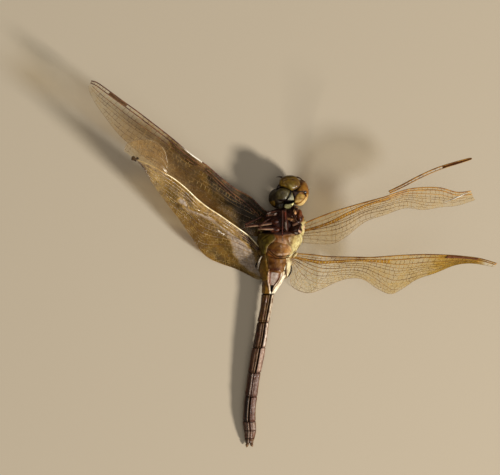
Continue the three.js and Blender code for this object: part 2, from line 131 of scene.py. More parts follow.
# [y, centre x, half width, centre z, half height]
THORAX_SECTIONS = [
    (7.7, 1.5, 2.6, 6.3, 2.6),
    (6.3, 1.0, 4.6, 6.0, 4.4),
    (4.2, 0.6, 5.9, 5.62, 5.76),
    (1.6, 0.3, 6.4, 5.6, 6.0),
    (-1.2, -0.1, 6.0, 5.5, 6.0),
    (-3.8, -0.5, 4.9, 5.4, 5.6),
    (-5.8, -1.0, 4.0, 5.2, 4.9),
    (-7.2, -1.2, 3.5, 5.1, 4.2),
]
OLIVE = (0.085, 0.047, 0.004)
STRAW = (0.44, 0.34, 0.13)
PALE_GREEN = (0.58, 0.51, 0.24)
RUST = (0.17, 0.058, 0.010)
BURNT = (0.060, 0.015, 0.003)
DARK_RED = (0.022, 0.005, 0.002)
NEAR_BLACK = (0.007, 0.003, 0.002)


def clamp(value):
    return max(0.0, min(1.0, value))


def along_rows(rows, place):
    """The columns of the rows at a fractional row number, on a smooth curve through them."""
    low = max(0, min(int(place), len(rows) - 2))
    four = [rows[max(0, min(len(rows) - 1, low + j))] for j in (-1, 0, 1, 2)]
    return [through_four(*column, place - low) for column in zip(*four)]


def smooth_rows(rows, at):
    """The other columns of the rows where the first one, which rises or falls, has the value at."""
    fall = rows[0][0] - rows[-1][0]
    k = 0
    while k < len(rows) - 2 and (rows[k + 1][0] - at) * fall > 0:
        k += 1
    return along_rows(rows, k + clamp((rows[k][0] - at) / (rows[k][0] - rows[k + 1][0])))[1:]


def through_four(a, b, c, d, t):
    """A smooth step from b to c, with a and d as the values before and after them."""
    return b + 0.5 * t * (c - a + t * (2 * a - 5 * b + 4 * c - d + t * (3 * (b - c) + d - a)))


def hump(value, centre, width):
    """1 at the centre, fading to nothing about two widths off."""
    return math.exp(-(((value - centre) / width) ** 2))


def ramp(value, low, high):
    """0 at low, 1 at high, and smooth between and beyond."""
    t = clamp((value - low) / (high - low))
    return t * t * (3 - 2 * t)


def blend(first, second, share):
    share = clamp(share)
    return tuple(a + (b - a) * share for a, b in zip(first, second))


def layered(colour, layers):
    """Lays each [paint, share] of the layers over the colour, in turn."""
    for paint, share in layers:
        colour = blend(colour, paint, share)
    return colour


def lumps(place, size, seed=0.0):
    """Smooth noise from -1 to 1 with lumps of the given size."""
    return noise.noise(Vector(place) / size + Vector((seed, 0.37 * seed, -seed)))


def off_line(x, y, line):
    """How far (x, y) is from a line through the given points."""
    nearest = 1e9
    for (x0, y0), (x1, y1) in zip(line, line[1:] or line):
        run, rise = x1 - x0, y1 - y0
        along = clamp(((x - x0) * run + (y - y0) * rise) / max(1e-9, run * run + rise * rise))
        nearest = min(nearest, math.hypot(x - x0 - run * along, y - y0 - rise * along))
    return nearest


def near(x, y, line, width):
    """1 on the line, or on its one point, and fading to nothing about two widths off."""
    return hump(off_line(x, y, line), 0, width)


def within(x, y, outline):
    """How far inside a closed outline a point lies, and below nought outside it."""
    inside = False
    for (x0, y0), (x1, y1) in zip(outline, outline[1:] + outline[:1]):
        if (y0 > y) != (y1 > y) and x < x0 + (y - y0) * (x1 - x0) / (y1 - y0):
            inside = not inside
    reach = off_line(x, y, outline + outline[:1])
    return reach if inside else -reach


def warped_ball(rule, around, along, squareness):
    """A closed shell: rule(k, angle, girth) places each point, with k from its front end to its rear."""
    bm = bmesh.new()
    bmesh.ops.create_uvsphere(bm, u_segments=around, v_segments=along, radius=1.0)
    for vert in bm.verts:
        k = clamp(0.5 - 0.5 * vert.co.z)
        angle = math.atan2(vert.co.y, vert.co.x)
        girth = max(0.0, 1.0 - abs(2 * k - 1) ** squareness) ** (1 / squareness)
        vert.co = rule(k, angle, girth)
    return bm


def trunk_point(rows, y, angle, girth, relief, lean=0.0):
    """A point on the trunk's skin at station y; angle 0 is the animal's left and 90 degrees its belly."""
    x, half_width, z, half_height = smooth_rows(rows, y)
    cos, sin = math.cos(angle), math.sin(angle)
    side = half_width * math.copysign(abs(cos) ** TRUNK_ROUNDNESS, cos)
    height = half_height * math.copysign(abs(sin) ** TRUNK_ROUNDNESS, sin)
    swell = relief(x + side, y, z + height, angle) / max(0.5, math.hypot(side, height))
    side *= 1 + swell
    height *= 1 + swell
    return Vector((x + side * girth, y + lean * height * girth, max(0.0, z + height * girth)))


def skin_height(rows, x, y, lean):
    """How high the trunk's belly side is over (x, y)."""
    station = y
    for _ in range(LEAN_STEPS):
        middle, half_width, z, half_height = smooth_rows(rows, station)
        off = min(0.97, abs(x - middle) / half_width) ** (1 / TRUNK_ROUNDNESS)
        height = half_height * math.sqrt(1 - off * off) ** TRUNK_ROUNDNESS
        station = y - lean * height
    return z + height


class Wire:
    """One socket of a material's nodes. Sums and products of wires add Math nodes."""

    def __init__(self, tree, socket=None):
        self.tree = tree
        self.socket = socket

    def node(self, kind, settings, inputs, output=0):
        """A new node: its settings are made first, then its inputs are set or linked."""
        made = self.tree.nodes.new(kind)
        for key, value in settings.items():
            setattr(made, key, value)
        for key, value in inputs.items():
            if isinstance(value, Wire):
                self.tree.links.new(value.socket, made.inputs[key])
            else:
                made.inputs[key].default_value = value
        return Wire(self.tree, made.outputs[output] if made.outputs else None)

    def maths(self, operation, first, second):
        return self.node("ShaderNodeMath", {"operation": operation}, {0: first, 1: second})

    def __add__(self, other):
        return self.maths("ADD", self, other)

    __radd__ = __add__

    def __sub__(self, other):
        return self.maths("SUBTRACT", self, other)

    def __rsub__(self, other):
        return self.maths("SUBTRACT", other, self)

    def __mul__(self, other):
        return self.maths("MULTIPLY", self, other)

    def between(self, low, high):
        """0 below low, 1 above high, and smooth between."""
        inputs = {"Value": self, "From Min": low, "From Max": high}
        return self.node("ShaderNodeMapRange", {"interpolation_type": "SMOOTHSTEP"}, inputs)

    def tint(self, first, second, blend_type="MIX"):
        """The first colour mixed with the second by this wire."""
        settings = {"data_type": "RGBA", "blend_type": blend_type}
        colours = [(*c, 1.0) if isinstance(c, tuple) else c for c in (first, second)]
        return self.node("ShaderNodeMix", settings, {0: self, 6: colours[0], 7: colours[1]}, 2)


def start_material(name):
    """An empty material, a bare wire to hang nodes on, and the surface's place in millimetres."""
    material = bpy.data.materials.new(name)
    material.use_nodes = True
    material.node_tree.nodes.clear()
    bare = Wire(material.node_tree)
    metres = bare.node("ShaderNodeTexCoord", {}, {}, "Object")
    place = bare.node("ShaderNodeVectorMath", {"operation": "SCALE"}, {0: metres, "Scale": 1 / MM})
    return material, bare, place


def clouds(place, scale, detail, roughness=0.5):
    """Cloudy noise over a surface, with about as many lumps to the millimetre as its scale."""
    inputs = {"Vector": place, "Scale": scale, "Detail": detail, "Roughness": roughness}
    return place.node("ShaderNodeTexNoise", {}, inputs)


def pits(place, scale):
    """Close round cells over a surface: how far it is from the middle of the nearest one."""
    return place.node("ShaderNodeTexVoronoi", {}, {"Vector": place, "Scale": scale}, "Distance")


def bumped(height, strength, depth):
    """The surface's direction over a fine relief, with its depth in millimetres."""
    inputs = {"Strength": strength, "Distance": depth * MM, "Height": height}
    return height.node("ShaderNodeBump", {}, inputs)


def painted_colour(bare):
    return bare.node("ShaderNodeAttribute", {"attribute_name": "Paint"}, {}, "Color")


def finish_material(material, kind, inputs):
    """Ends a material with a last shader of the given kind."""
    bare = Wire(material.node_tree)
    shader = bare.node(kind, {}, inputs)
    bare.node("ShaderNodeOutputMaterial", {}, {"Surface": shader})
    return material


def shell_material(
    name, roughness=0.45, mottle=0.5, grain=7.0, relief=0.5, coat=0.08, shine=0.2, dust=0.01
):
    """Dried horn: the piece's painted colours, mottled and dusted, over a fine pitted grain."""
    material, bare, place = start_material(name)
    blotch = clouds(place, 0.9, 6.0)
    speck = clouds(place, grain, 3.0)
    film = clouds(place, 2.3, 6.0, 0.7)
    shade = (blotch.between(0.60, 0.34) * mottle) + (speck.between(0.60, 0.35) * (0.5 * mottle))
    colour = shade.tint(painted_colour(bare), (0.36, 0.25, 0.18), "MULTIPLY")
    height = speck * 0.6 + pits(place, 1.6 * grain) * 0.4 + blotch * 1.2
    return finish_material(material, "ShaderNodeBsdfPrincipled", {
        "Base Color": (film.between(0.55, 0.85) * dust).tint(colour, (0.42, 0.36, 0.28)),
        "Roughness": roughness + (film - 0.5) * 0.35,
        "Specular IOR Level": shine,
        "Normal": bumped(height, relief, 0.06),
        "Coat Weight": coat,
        "Coat Roughness": 0.18,
    })


def finish_piece(name, bm, material, replaced=(), paint=None, place=None):
    """Turns a modelled piece, in millimetres, into the object that rides on the frame."""
    bmesh.ops.remove_doubles(bm, verts=bm.verts, dist=1e-5)
    bmesh.ops.recalc_face_normals(bm, faces=bm.faces)
    if paint:
        layer = bm.verts.layers.float_color.new("Paint")
        for vert in bm.verts:
            vert[layer] = (*paint(vert.co), 1.0)
    if place:
        bmesh.ops.transform(bm, matrix=place, verts=bm.verts)
    bmesh.ops.scale(bm, vec=(MM, MM, MM), verts=bm.verts)
    data = bpy.data.meshes.new(name)
    bm.to_mesh(data)
    bm.free()
    data.polygons.foreach_set("use_smooth", [True] * len(data.polygons))
    piece = bpy.data.objects.new(name, data)
    stage_scene.collection.objects.link(piece)
    data.materials.append(material)
    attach(piece, "root")
    if replaced:
        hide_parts(*replaced)


# The seams on its sides lean more than the box itself: each is [slanted y, depth].
SEAM_LEAN = 0.55
FRONT_SEAMS = [(5.0, 0.30), (2.6, 0.32)]
REAR_SEAMS = [(-1.9, 0.26), (-4.1, 0.30)]
BREATHING_HOLE = (-5.85, 1.4)
# Plates of the breast seen from below, and the pale seams between them.
OLIVE_PANEL = [
    (-6.5, 2.1), (-5.1, 1.8), (-3.9, 1.5), (-2.3, 1.15), (-1.6, 0.6), (-1.3, -0.2), (-2.1, -1.1),
    (-3.5, -2.5), (-3.75, -3.8), (-4.2, -4.8), (-5.0, -4.5), (-5.6, -2.6), (-6.1, -1.0), (-6.6, 0.1),
]
PALE_PANEL = [
    (1.1, 0.4), (2.7, 0.6), (4.4, 0.5), (5.9, 1.2), (6.2, -0.3), (5.4, -1.5), (4.9, -3.1), (4.2, -4.2),
    (3.2, -3.8), (2.6, -2.4), (1.9, -1.9), (1.6, -1.0),
]
PALE_SEAMS = [
    [(-1.3, -0.4), (-1.9, -1.0), (-3.5, -2.6), (-3.8, -3.9)],
    [(1.5, -0.9), (2.0, -1.9), (2.7, -2.5), (3.3, -3.9)],
]


def along_slant(y, z):
    """Where a place lies counted along the thorax's leaning seams."""
    return y - SEAM_LEAN * (z - 5.5)


def thorax_relief(seams):
    def relief(x, y, z, angle):
        side = ramp(abs(math.cos(angle)), 0.35, 0.7)
        slanted = along_slant(y, z)
        swell = 0.20 * side * math.sin(1.25 * slanted) ** 2
        dry = 0.14 * lumps((x, y, z), 2.2) + 0.05 * lumps((x, y, z), 0.7, 3.0)
        pressed = side * sum(depth * hump(slanted, at, 0.16) for at, depth in seams)
        if z > 7.0:
            for panel in (OLIVE_PANEL, PALE_PANEL):
                edge = within(x, y + THORAX_LEAN * (z - 5.4), panel)
                dry += 0.12 * ramp(edge, 0.0, 0.5) - 0.16 * hump(edge, -0.1, 0.14)
        return swell + dry - pressed
    return relief


def thorax_paint(place):
    x, y, z = place
    patches = lumps(place, 2.0, 5.0)
    streaks = lumps((x * 2.2, y * 0.8, z * 2.2), 1.0, 8.0)
    # The left side's straw and pale green are in part painted light, and the right side's olive in part
    # painted shade.
    lit_left_side = layered(STRAW, [
        (PALE_GREEN, 0.5 + patches),
        ((0.30, 0.13, 0.02), ramp(y, 3.6, 5.2)),
    ])
    colour = layered(OLIVE, [
        (lit_left_side, ramp(x, -1.0, 3.4)),
        (RUST, 0.9 * ramp(z, 7.5, 9.5) * (1 - ramp(abs(x), 4.0, 5.0))),
    ])
    # The olive panel on the right is painted as a shaded copy of the pale panel on the left: painted shade.
    if z > 6.0:
        shaded_olive = blend((0.060, 0.038, 0.002), (0.110, 0.078, 0.009), ramp(-y, -0.8, 2.0) + 0.5 * patches)
        lit_straw = layered((0.16, 0.062, 0.008), [
            ((0.19, 0.12, 0.032), ramp(x, 2.2, 3.2) + 0.4 * streaks),
            (STRAW, ramp(x - 0.35 * y, 3.2, 4.3) + 0.4 * streaks),
            (PALE_GREEN, ramp(x - 0.45 * y, 4.2, 5.4) + 0.4 * patches),
        ])
        colour = layered(colour, [
            (shaded_olive, ramp(within(x, y, OLIVE_PANEL), -0.05, 0.12)),
            (lit_straw, ramp(within(x, y, PALE_PANEL), -0.05, 0.12)),
        ])
        for seam in PALE_SEAMS:
            colour = blend(colour, (0.36, 0.26, 0.13), near(x, y, seam, 0.16))
            colour = blend(colour, BURNT, 0.7 * near(x - 0.25, y - 0.25, seam, 0.09))
        middle = (1 - ramp(abs(x - 0.5), 0.9, 1.5)) * ramp(y, -2.4, -1.7) * (1 - ramp(y, -0.8, 0.0))
        hole = off_line(x, y, [BREATHING_HOLE])
        colour = layered(colour, [
            ((0.30, 0.17, 0.09), 0.85 * middle),
            (DARK_RED, ramp(y - 0.12 * abs(x), 0.2, 0.9) * (1 - ramp(abs(x - 0.6), 4.9, 5.5))),
            (STRAW, 0.6 * hump(hole, 0.62, 0.16)),
            (BURNT, 1.0 - ramp(hole, 0.25, 0.5)),
        ])
    seams = max(hump(along_slant(y, z), at, 0.2) for at, _ in FRONT_SEAMS + REAR_SEAMS)
    return layered(colour, [
        (BURNT, 0.75 * (1 - ramp(z, 0.6, 3.4))),
        (BURNT, 0.8 * seams * (1 - ramp(z, 6.0, 8.0))),
    ])


thorax_shell = shell_material("thorax_shell", roughness=0.55, mottle=0.55, coat=0.04, shine=0.1)
for half, front, back, seams in (
    ("mesothorax", 7.7, THORAX_SPLIT + 0.05, FRONT_SEAMS),
    ("metathorax", THORAX_SPLIT - 0.05, -7.2, REAR_SEAMS),
):
    half_relief = thorax_relief(seams)
    half_shell = warped_ball(
        lambda k, angle, girth: trunk_point(
            THORAX_SECTIONS, front + (back - front) * k, angle, girth, half_relief, THORAX_LEAN
        ),
        around=180, along=84, squareness=9.0,
    )
    finish_piece(half + "_shell", half_shell, thorax_shell, [half], thorax_paint)

# ---- breast plates ----
# The smooth plates of horn along the middle of the breast: a brown shield with a deep crescent fold
# along its rear edge, the first belly plate of the tail, and the strips that join them to the sides.
FOLD = [(-3.1, -3.8), (-1.9, -4.9), (-1.0, -5.4), (0.0, -5.5), (1.6, -5.3), (2.6, -4.8)]
# [outline, how far its middle stands off the body]
BREAST_PLATES = {
    "breast_shield": [[
        (-2.4, -1.6), (-1.1, -1.3), (0.3, -1.5), (1.6, -1.95), (2.6, -2.45), (3.2, -3.2), (3.25, -4.1),
        (2.6, -4.9), (1.4, -5.4), (0.0, -5.6), (-1.3, -5.45), (-2.4, -4.95), (-3.25, -4.1), (-3.6, -3.2),
        (-3.3, -2.3),
    ], 0.32],
    "first_belly_plate": [[
        (-3.9, -5.1), (-2.2, -5.5), (-0.6, -5.75), (0.9, -5.75), (2.2, -5.4), (1.9, -6.8), (1.3, -8.1),
        (0.8, -9.5), (-0.9, -9.7), (-2.2, -9.5), (-3.2, -9.1), (-3.6, -7.4),
    ], 0.45],
    "joint_strip_left": [[
        (4.2, -3.8), (3.6, -4.6), (2.8, -5.4), (2.2, -6.4), (1.8, -6.9), (1.9, -6.0), (2.5, -5.0),
        (3.4, -4.1),
    ], 0.55],
    "flank_strip_left": [[
        (2.1, -5.7), (2.7, -5.5), (2.9, -7.0), (2.8, -8.6), (2.4, -10.2), (1.7, -11.0), (1.5, -9.6),
        (1.6, -8.2), (1.9, -7.0),
    ], 0.3],
    "flank_strip_right": [[
        (-4.0, -4.6), (-4.8, -5.1), (-5.4, -6.6), (-5.6, -8.4), (-5.5, -10.2), (-4.9, -11.8),
        (-3.6, -11.6), (-3.1, -9.8), (-3.4, -7.8), (-3.7, -6.2),
    ], 0.5],
}
FLANK_OLIVE = (0.135, 0.072, 0.006)
PALE_SKIN = (0.56, 0.47, 0.27)


def breast_skin(x, y):
    """The height of the thorax, and behind it of the soft joint that leads to the tail."""
    thorax = skin_height(THORAX_SECTIONS, x, max(y, -5.6), THORAX_LEAN)
    return thorax + (8.75 - 0.14 * (x + 1.2) ** 2 - thorax) * ramp(-y, 5.2, 7.0)


def cushion(outline, rise, rest, around, along, fullness=2.6, relief=None):
    """A domed plate over a closed outline; rest(x, y) is the height of what it lies on."""
    middle = Vector([sum(axis) / len(outline) for axis in zip(*outline)])
    closed = outline[-1:] + outline + outline[:2]

    def place(k, angle, girth):
        share = (angle / (2 * math.pi)) % 1.0 * len(outline)
        flat = middle.lerp(Vector(along_rows(closed, 1 + share)), girth)
        point = Vector((flat.x, flat.y, rest(flat.x, flat.y) + rise * (1 - 2 * k)))
        if relief and k < 0.5:
            point.z += relief(point) * (1 - girth ** 8)
        return point

    return warped_ball(place, around, along, fullness)


def breast_relief(place):
    fold = off_line(place.x, place.y, FOLD)
    pressed = -0.50 * hump(fold, 0, 0.2) + 0.16 * hump(fold, 0.45, 0.2)
    keel = 0.06 * hump(place.x, -0.1, 0.4)
    return pressed + keel + 0.10 * lumps(place, 1.3) + 0.05 * lumps(place, 0.4, 2.0)


def breast_paint(place):
    x, y = place.xy
    patches = lumps(place, 1.4, 1.0)
    # The left flank strip's pale cream is in part painted light, and the right one's olive below in part
    # painted shade.
    if x > 1.4 and y < -5.7:
        pale_flank = layered(PALE_SKIN, [
            ((0.86, 0.80, 0.50), 0.5 * ramp(-y, 6.0, 7.4) + 0.5 * patches),
            ((0.30, 0.14, 0.035), 0.8 * near(x, y, [(2.0, -6.1), (1.9, -7.4), (1.5, -9.3)], 0.14)),
        ])
        return blend((0.13, 0.048, 0.008), pale_flank, ramp(x + 0.05 * y, 1.25, 1.55))
    if x < -3.3 and y < -4.4:
        golden = ramp(-y, 8.0, 9.6) * (1 - ramp(-y, 10.6, 11.4))
        return blend(FLANK_OLIVE, (0.23, 0.115, 0.010), 0.2 + patches + 0.6 * golden)
    if y < -5.45:
        return layered((0.100, 0.034, 0.003), [
            ((0.185, 0.080, 0.011), ramp(x, -2.2, 1.0) + 0.6 * patches),
            ((0.060, 0.010, 0.002), 0.8 * hump(y, -8.75, 0.4) * ramp(-x, -0.6, 0.6)),
            ((0.23, 0.115, 0.045), 0.5 * near(x, y, [(-3.4, -6.0), (-3.3, -9.0)], 0.2)),
            ((0.36, 0.20, 0.105), 0.9 * near(x, y, [(-2.9, -8.0)], 0.36)),
            ((0.36, 0.20, 0.105), 0.9 * near(x, y, [(0.3, -8.15)], 0.36)),
            ((0.030, 0.004, 0.001), 0.95 * ramp(off_line(x, y, FOLD), 0.55, 0.25)),
        ])
    if x > 2.4 and y < -3.9 - 0.9 * (3.6 - x):
        return blend(PALE_SKIN, (0.62, 0.56, 0.36), 0.5 + patches)
    return layered((0.092, 0.034, 0.003), [
        ((0.135, 0.056, 0.006), ramp(x, -3.0, 0.5) + 0.5 * patches),
        ((0.25, 0.105, 0.014), ramp(x, 0.2, 1.4)),
        ((0.50, 0.31, 0.12), ramp(x - 0.3 * (y + 3.0), 1.7, 2.7)),
        # A painted highlight: white-pink glints just before the fold.
        ((0.42, 0.29, 0.19), 0.85 * hump(y, -4.6 + 0.05 * x * x, 0.2) * ramp(x, -1.0, -0.5)),
        (BURNT, 0.7 * ramp(off_line(x, y, [(-1.0, -3.4), (-2.2, -3.6), (-3.2, -3.2)]), 0.7, 0.1)),
        (NEAR_BLACK, 0.97 * ramp(off_line(x, y, FOLD) + 0.06 * abs(x + 0.3), 0.52, 0.28)),
    ])


breast_horn = shell_material("breast_horn", roughness=0.48, mottle=0.55, coat=0.06, shine=0.14)
for plate_name, (outline, rise) in BREAST_PLATES.items():
    replaced = ["sternum"] if plate_name == "breast_shield" else []
    breast_plate = cushion(outline, rise, breast_skin, 120, 64, 2.0, breast_relief)
    finish_piece(plate_name, breast_plate, breast_horn, replaced, breast_paint)

# ---- neck plate ----
# The small front ring of the thorax that holds the head: a few stacked folds of dark horn, with
# the fore legs just behind it.
NECK_CENTRE = (2.2, 8.0, 6.4)
NECK_RADII = (2.6, 1.5, 2.9)


def egg(centre, radii, turn, around, along, relief):
    """A ball stretched to three radii, with a relief on its skin, then turned and set in place."""
    bm = bmesh.new()
    bmesh.ops.create_uvsphere(bm, u_segments=around, v_segments=along, radius=1.0)
    for vert in bm.verts:
        here = Vector(c + r * v for c, r, v in zip(centre, radii, vert.co))
        vert.co *= 1 + relief(here) / min(radii)
    bmesh.ops.scale(bm, vec=radii, verts=bm.verts)
    set_up = Matrix.Translation(centre) @ Euler(turn).to_matrix().to_4x4()
    bmesh.ops.transform(bm, matrix=set_up, verts=bm.verts)
    return bm


def neck_relief(place):
    return 0.20 * math.sin(4.2 * (place.y - NECK_CENTRE[1])) + 0.08 * lumps(place, 0.8)


def neck_paint(place):
    colour = blend(DARK_RED, (0.085, 0.016, 0.008), 0.5 + 0.9 * lumps(place, 0.9, 4.0))
    return blend(colour, (0.30, 0.15, 0.06), 0.5 * ramp(place.x, 3.6, 4.6))


dark_horn = shell_material("dark_horn", roughness=0.36, mottle=0.4, coat=0.12, shine=0.14, dust=0)
neck_plate = egg(NECK_CENTRE, NECK_RADII, (0, 0, 0), 72, 48, neck_relief)
finish_piece("neck_plate", neck_plate, dark_horn, ["prothorax"], neck_paint)

# ---- eyes ----
# Two great faceted eyes that wrap the head and nearly meet on its crown. Dried, the left one is amber
# with a pale rear rim and black marks; the right one has sunk, and is painted near-black olive as
# painted shade, with a yellow mark.
HEAD_PLACE = Matrix.Translation((2.4, 12.5, 7.0)) @ Euler((0, 0.08, 0.05)).to_matrix().to_4x4()
# [centre, radii] from the head's own middle
EYES = {
    "eye_right": [(-3.1, -1.45, -0.5), (2.5, 2.75, 3.35)],
    "eye_left": [(3.15, -0.2, -0.5), (2.45, 3.65, 3.5)],
}
EYE_TURN = 0.12
EYE_GAP = 0.3                          # between the two on the crown
AMBER = (0.235, 0.105, 0.012)
DEEP_AMBER = (0.095, 0.028, 0.003)
CREAM = (0.62, 0.44, 0.17)
SHADED_EYE_OLIVE = (0.028, 0.017, 0.003)
EYE_RIM = [(4.75, -0.7), (4.35, -1.5), (3.75, -2.25), (2.95, -3.0), (2.0, -3.35), (0.9, -3.4)]
EYE_SPOT = (4.2, -0.4)
EYE_MARKS_FLOOR = -1.5                 # the marks are above this height only
EYE_NOTCH = [(0.6, 0.25), (1.75, 0.45), (2.4, 0.9), (2.9, 1.3)]
EYE_BAR = [(2.4, -0.1), (3.3, -0.1), (4.2, -0.4)]
YELLOW_MARK = [(-6.1, -2.4), (-4.3, -2.15), (-3.9, -3.9), (-5.2, -3.5)]


def eye_relief(place):
    dent = -0.30 * near(place.x, place.y, [EYE_SPOT], 0.5) if place.z > 0 else 0.0
    return dent + 0.08 * lumps(place, 1.3, 7.0)


def left_eye_paint(place):
    x, y, z = place
    colour = layered(AMBER, [
        (DEEP_AMBER, 0.25 + 1.4 * lumps(place, 1.2, 2.0)),
        ((0.26, 0.105, 0.012), 0.8 * ramp(x, 4.3, 5.2)),
        (DEEP_AMBER, 0.8 * (1 - ramp(z, -3.2, 0.0))),
    ])
    if z <= EYE_MARKS_FLOOR:
        return colour
    behind = ramp(within(x, y, EYE_RIM + [(1.0, -5.0), (6.5, -5.0), (6.5, -1.4)]), 0.0, 0.25)
    spot = 1 - ramp(off_line(x, y, [EYE_SPOT]), 0.36, 0.58)
    smear = 1 - ramp(off_line(x, y, [EYE_SPOT, (4.15, -1.0), (4.6, -1.35)]), 0.12, 0.28)
    return layered(colour, [
        (CREAM, behind),
        ((0.40, 0.19, 0.04), 0.7 * behind * ramp(y + 0.4 * x, -0.4, 0.4)),
        ((0.24, 0.09, 0.010), 0.9 * hump(off_line(x, y, EYE_RIM), 0.05, 0.14)),
        ((0.38, 0.28, 0.11), 0.9 * near(x, y, [(2.6, 1.5)], 0.36)),
        (NEAR_BLACK, 0.9 * ramp(off_line(x, y, EYE_NOTCH), 0.20, 0.08)),
        (NEAR_BLACK, 0.9 * ramp(off_line(x, y, EYE_BAR), 0.26, 0.12)),
        (NEAR_BLACK, max(spot, 0.9 * smear)),
        # A painted highlight: a yellow glint below the black spot.
        ((0.30, 0.15, 0.008), 0.8 * near(x, y, [(4.9, -0.8)], 0.2)),
    ])


def shaded_right_eye_paint(place):
    x, y, z = place
    # Painted shade: the eye is near-black olive all over.
    colour = blend(SHADED_EYE_OLIVE, (0.010, 0.005, 0.001), 0.5 + 0.9 * lumps(place, 1.4, 3.0))
    if z <= EYE_MARKS_FLOOR:
        return colour
    mark = ramp(within(x, y, YELLOW_MARK), -0.08, 0.18)
    edge = off_line(x, y, YELLOW_MARK[2:] + YELLOW_MARK[:1])
    return layered(colour, [
        ((0.19, 0.105, 0.005), mark * (0.8 + 0.4 * lumps(place, 0.5))),
        ((0.05, 0.012, 0.003), 0.8 * hump(edge, 0.1, 0.16)),
    ])


def eye_material():
    """Amber lens skin over a faceted bump, under a clear glossy coat."""
    material, bare, place = start_material("eye_lens")
    facets = pits(place, 11.0)
    cloud = clouds(place, 1.6, 5.0)
    colour = (cloud.between(0.42, 0.66) * 0.45).tint(painted_colour(bare), (0.35, 0.24, 0.18), "MULTIPLY")
    return finish_material(material, "ShaderNodeBsdfPrincipled", {
        "Base Color": (facets.between(0.35, 0.75) * 0.4).tint(colour, (0.45, 0.35, 0.30), "MULTIPLY"),
        "Roughness": 0.32 + cloud * 0.2,
        "Specular IOR Level": 0.15,
        "Normal": bumped(1.0 - facets + cloud * 0.8, 0.5, 0.03),
        "Coat Weight": 0.18,
        "Coat Roughness": 0.12,
    })


eye_lens = eye_material()
for eye_name, side, eye_paint in (("eye_right", -1, shaded_right_eye_paint), ("eye_left", 1, left_eye_paint)):
    eye_ball = egg(*EYES[eye_name], (0, 0, -EYE_TURN * side), 160, 110, eye_relief)
    eye_parts = eye_ball.verts[:] + eye_ball.edges[:] + eye_ball.faces[:]
    bmesh.ops.bisect_plane(
        eye_ball, geom=eye_parts, clear_outer=True,
        plane_co=(0.5 * EYE_GAP * side, 0, 0), plane_no=(-side, 0, 0),
    )
    bmesh.ops.holes_fill(eye_ball, edges=eye_ball.edges)
    finish_piece(eye_name + "_ball", eye_ball, eye_lens, [eye_name], eye_paint, HEAD_PLACE)

# ---- back of the head ----
# The round capsule that the eyes sit on. It shows only between the mouth plates, as black skin, and
# at the rear, where it meets the neck plate.
def capsule_paint(place):
    colour = blend((0.07, 0.036, 0.010), OLIVE, 0.5 + 0.6 * lumps(place, 0.9))
    return blend(colour, NEAR_BLACK, ramp(place.z, 0.6, 1.4))


face_horn = shell_material("face_horn", roughness=0.42, grain=9.0, coat=0.12, shine=0.18, dust=0)
capsule = egg((-0.1, -0.5, 0.1), (3.6, 3.3, 2.6), (0, 0, 0), 80, 56, lambda place: 0.06 * lumps(place, 0.9))
finish_piece("head_back", capsule, face_horn, ["head_capsule"], capsule_paint, HEAD_PLACE)

# ---- face ----
# The bulging front of the head: forehead below, and over it the nose plate, which ends in a blunt
# point over the lower lip and is closed by a dark seam.
FACE_OUTLINE = [
    (-2.65, 1.65), (-2.75, 2.7), (-2.3, 3.7), (-1.3, 4.35), (0.2, 4.55), (1.5, 4.3), (2.5, 3.5),
    (2.95, 2.4), (2.8, 1.3), (1.9, 0.62), (0.5, 0.05), (-0.3, 0.5), (-1.1, 1.0), (-2.0, 1.45),
]
BROW_SEAM = [(-2.4, 2.2), (-1.7, 3.1), (-0.4, 3.55), (1.0, 3.4), (2.1, 2.6), (2.5, 1.7)]
SIDE_SEAM = [(-2.05, 3.4), (-2.0, 2.4), (-2.1, 1.5)]
NOSE_HOLLOW = [(-1.5, 2.4), (-0.9, 1.7), (-0.6, 0.9)]


def face_relief(place):
    x, y = place.xy
    seams = near(x, y, BROW_SEAM, 0.10) + near(x, y, SIDE_SEAM, 0.10)
    dome = 0.16 * near(x, y, [(0.1, 1.6)], 0.9) - 0.12 * near(x, y, NOSE_HOLLOW, 0.25)
    return dome - 0.10 * seams + 0.07 * lumps(place, 0.8, 6.0)


def face_paint(place):
    x, y = place.xy
    patches = lumps(place, 0.8, 1.0)
    rim = (1 - ramp(within(x, y, FACE_OUTLINE), 0.10, 0.24)) * (1 - ramp(y, 1.4, 2.2))
    return layered((0.096, 0.055, 0.002), [
        ((0.115, 0.058, 0.002), 0.5 + patches),
        ((0.165, 0.118, 0.020), near(x, y, [(0.2, 1.5)], 0.95) + 0.2 * patches),
        ((0.058, 0.031, 0.001), 0.8 * near(x, y, NOSE_HOLLOW, 0.4)),
        ((0.175, 0.098, 0.003), ramp(-x, 1.95, 2.1) * ramp(y, 1.2, 1.6)),
        ((0.145, 0.080, 0.014), 0.8 * ramp(x, 1.1, 2.2)),
        ((0.045, 0.017, 0.002), 0.6 * near(x, y, BROW_SEAM, 0.10)),
        ((0.05, 0.020, 0.002), 0.7 * near(x, y, SIDE_SEAM, 0.09)),
        ((0.05, 0.016, 0.004), 0.8 * near(x, y, [(0.9, 3.2)], 0.3)),
        ((0.045, 0.006, 0.002), near(x, y, [(2.15, 1.3)], 0.22)),
        (NEAR_BLACK, 0.95 * rim),
    ])


face_plate = cushion(FACE_OUTLINE, 1.75, lambda x, y: 2.25 - 0.06 * y, 150, 90, 2.9, face_relief)
finish_piece("nose_plate", face_plate, face_horn, [], face_paint, HEAD_PLACE)
forehead = egg(
    (0.1, 2.0, 0.0), (2.45, 2.25, 2.3), (0, 0, 0), 96, 64, lambda place: 0.07 * lumps(place, 0.8, 6.0)
)
finish_piece("forehead", forehead, face_horn, ["face"], face_paint, HEAD_PLACE)

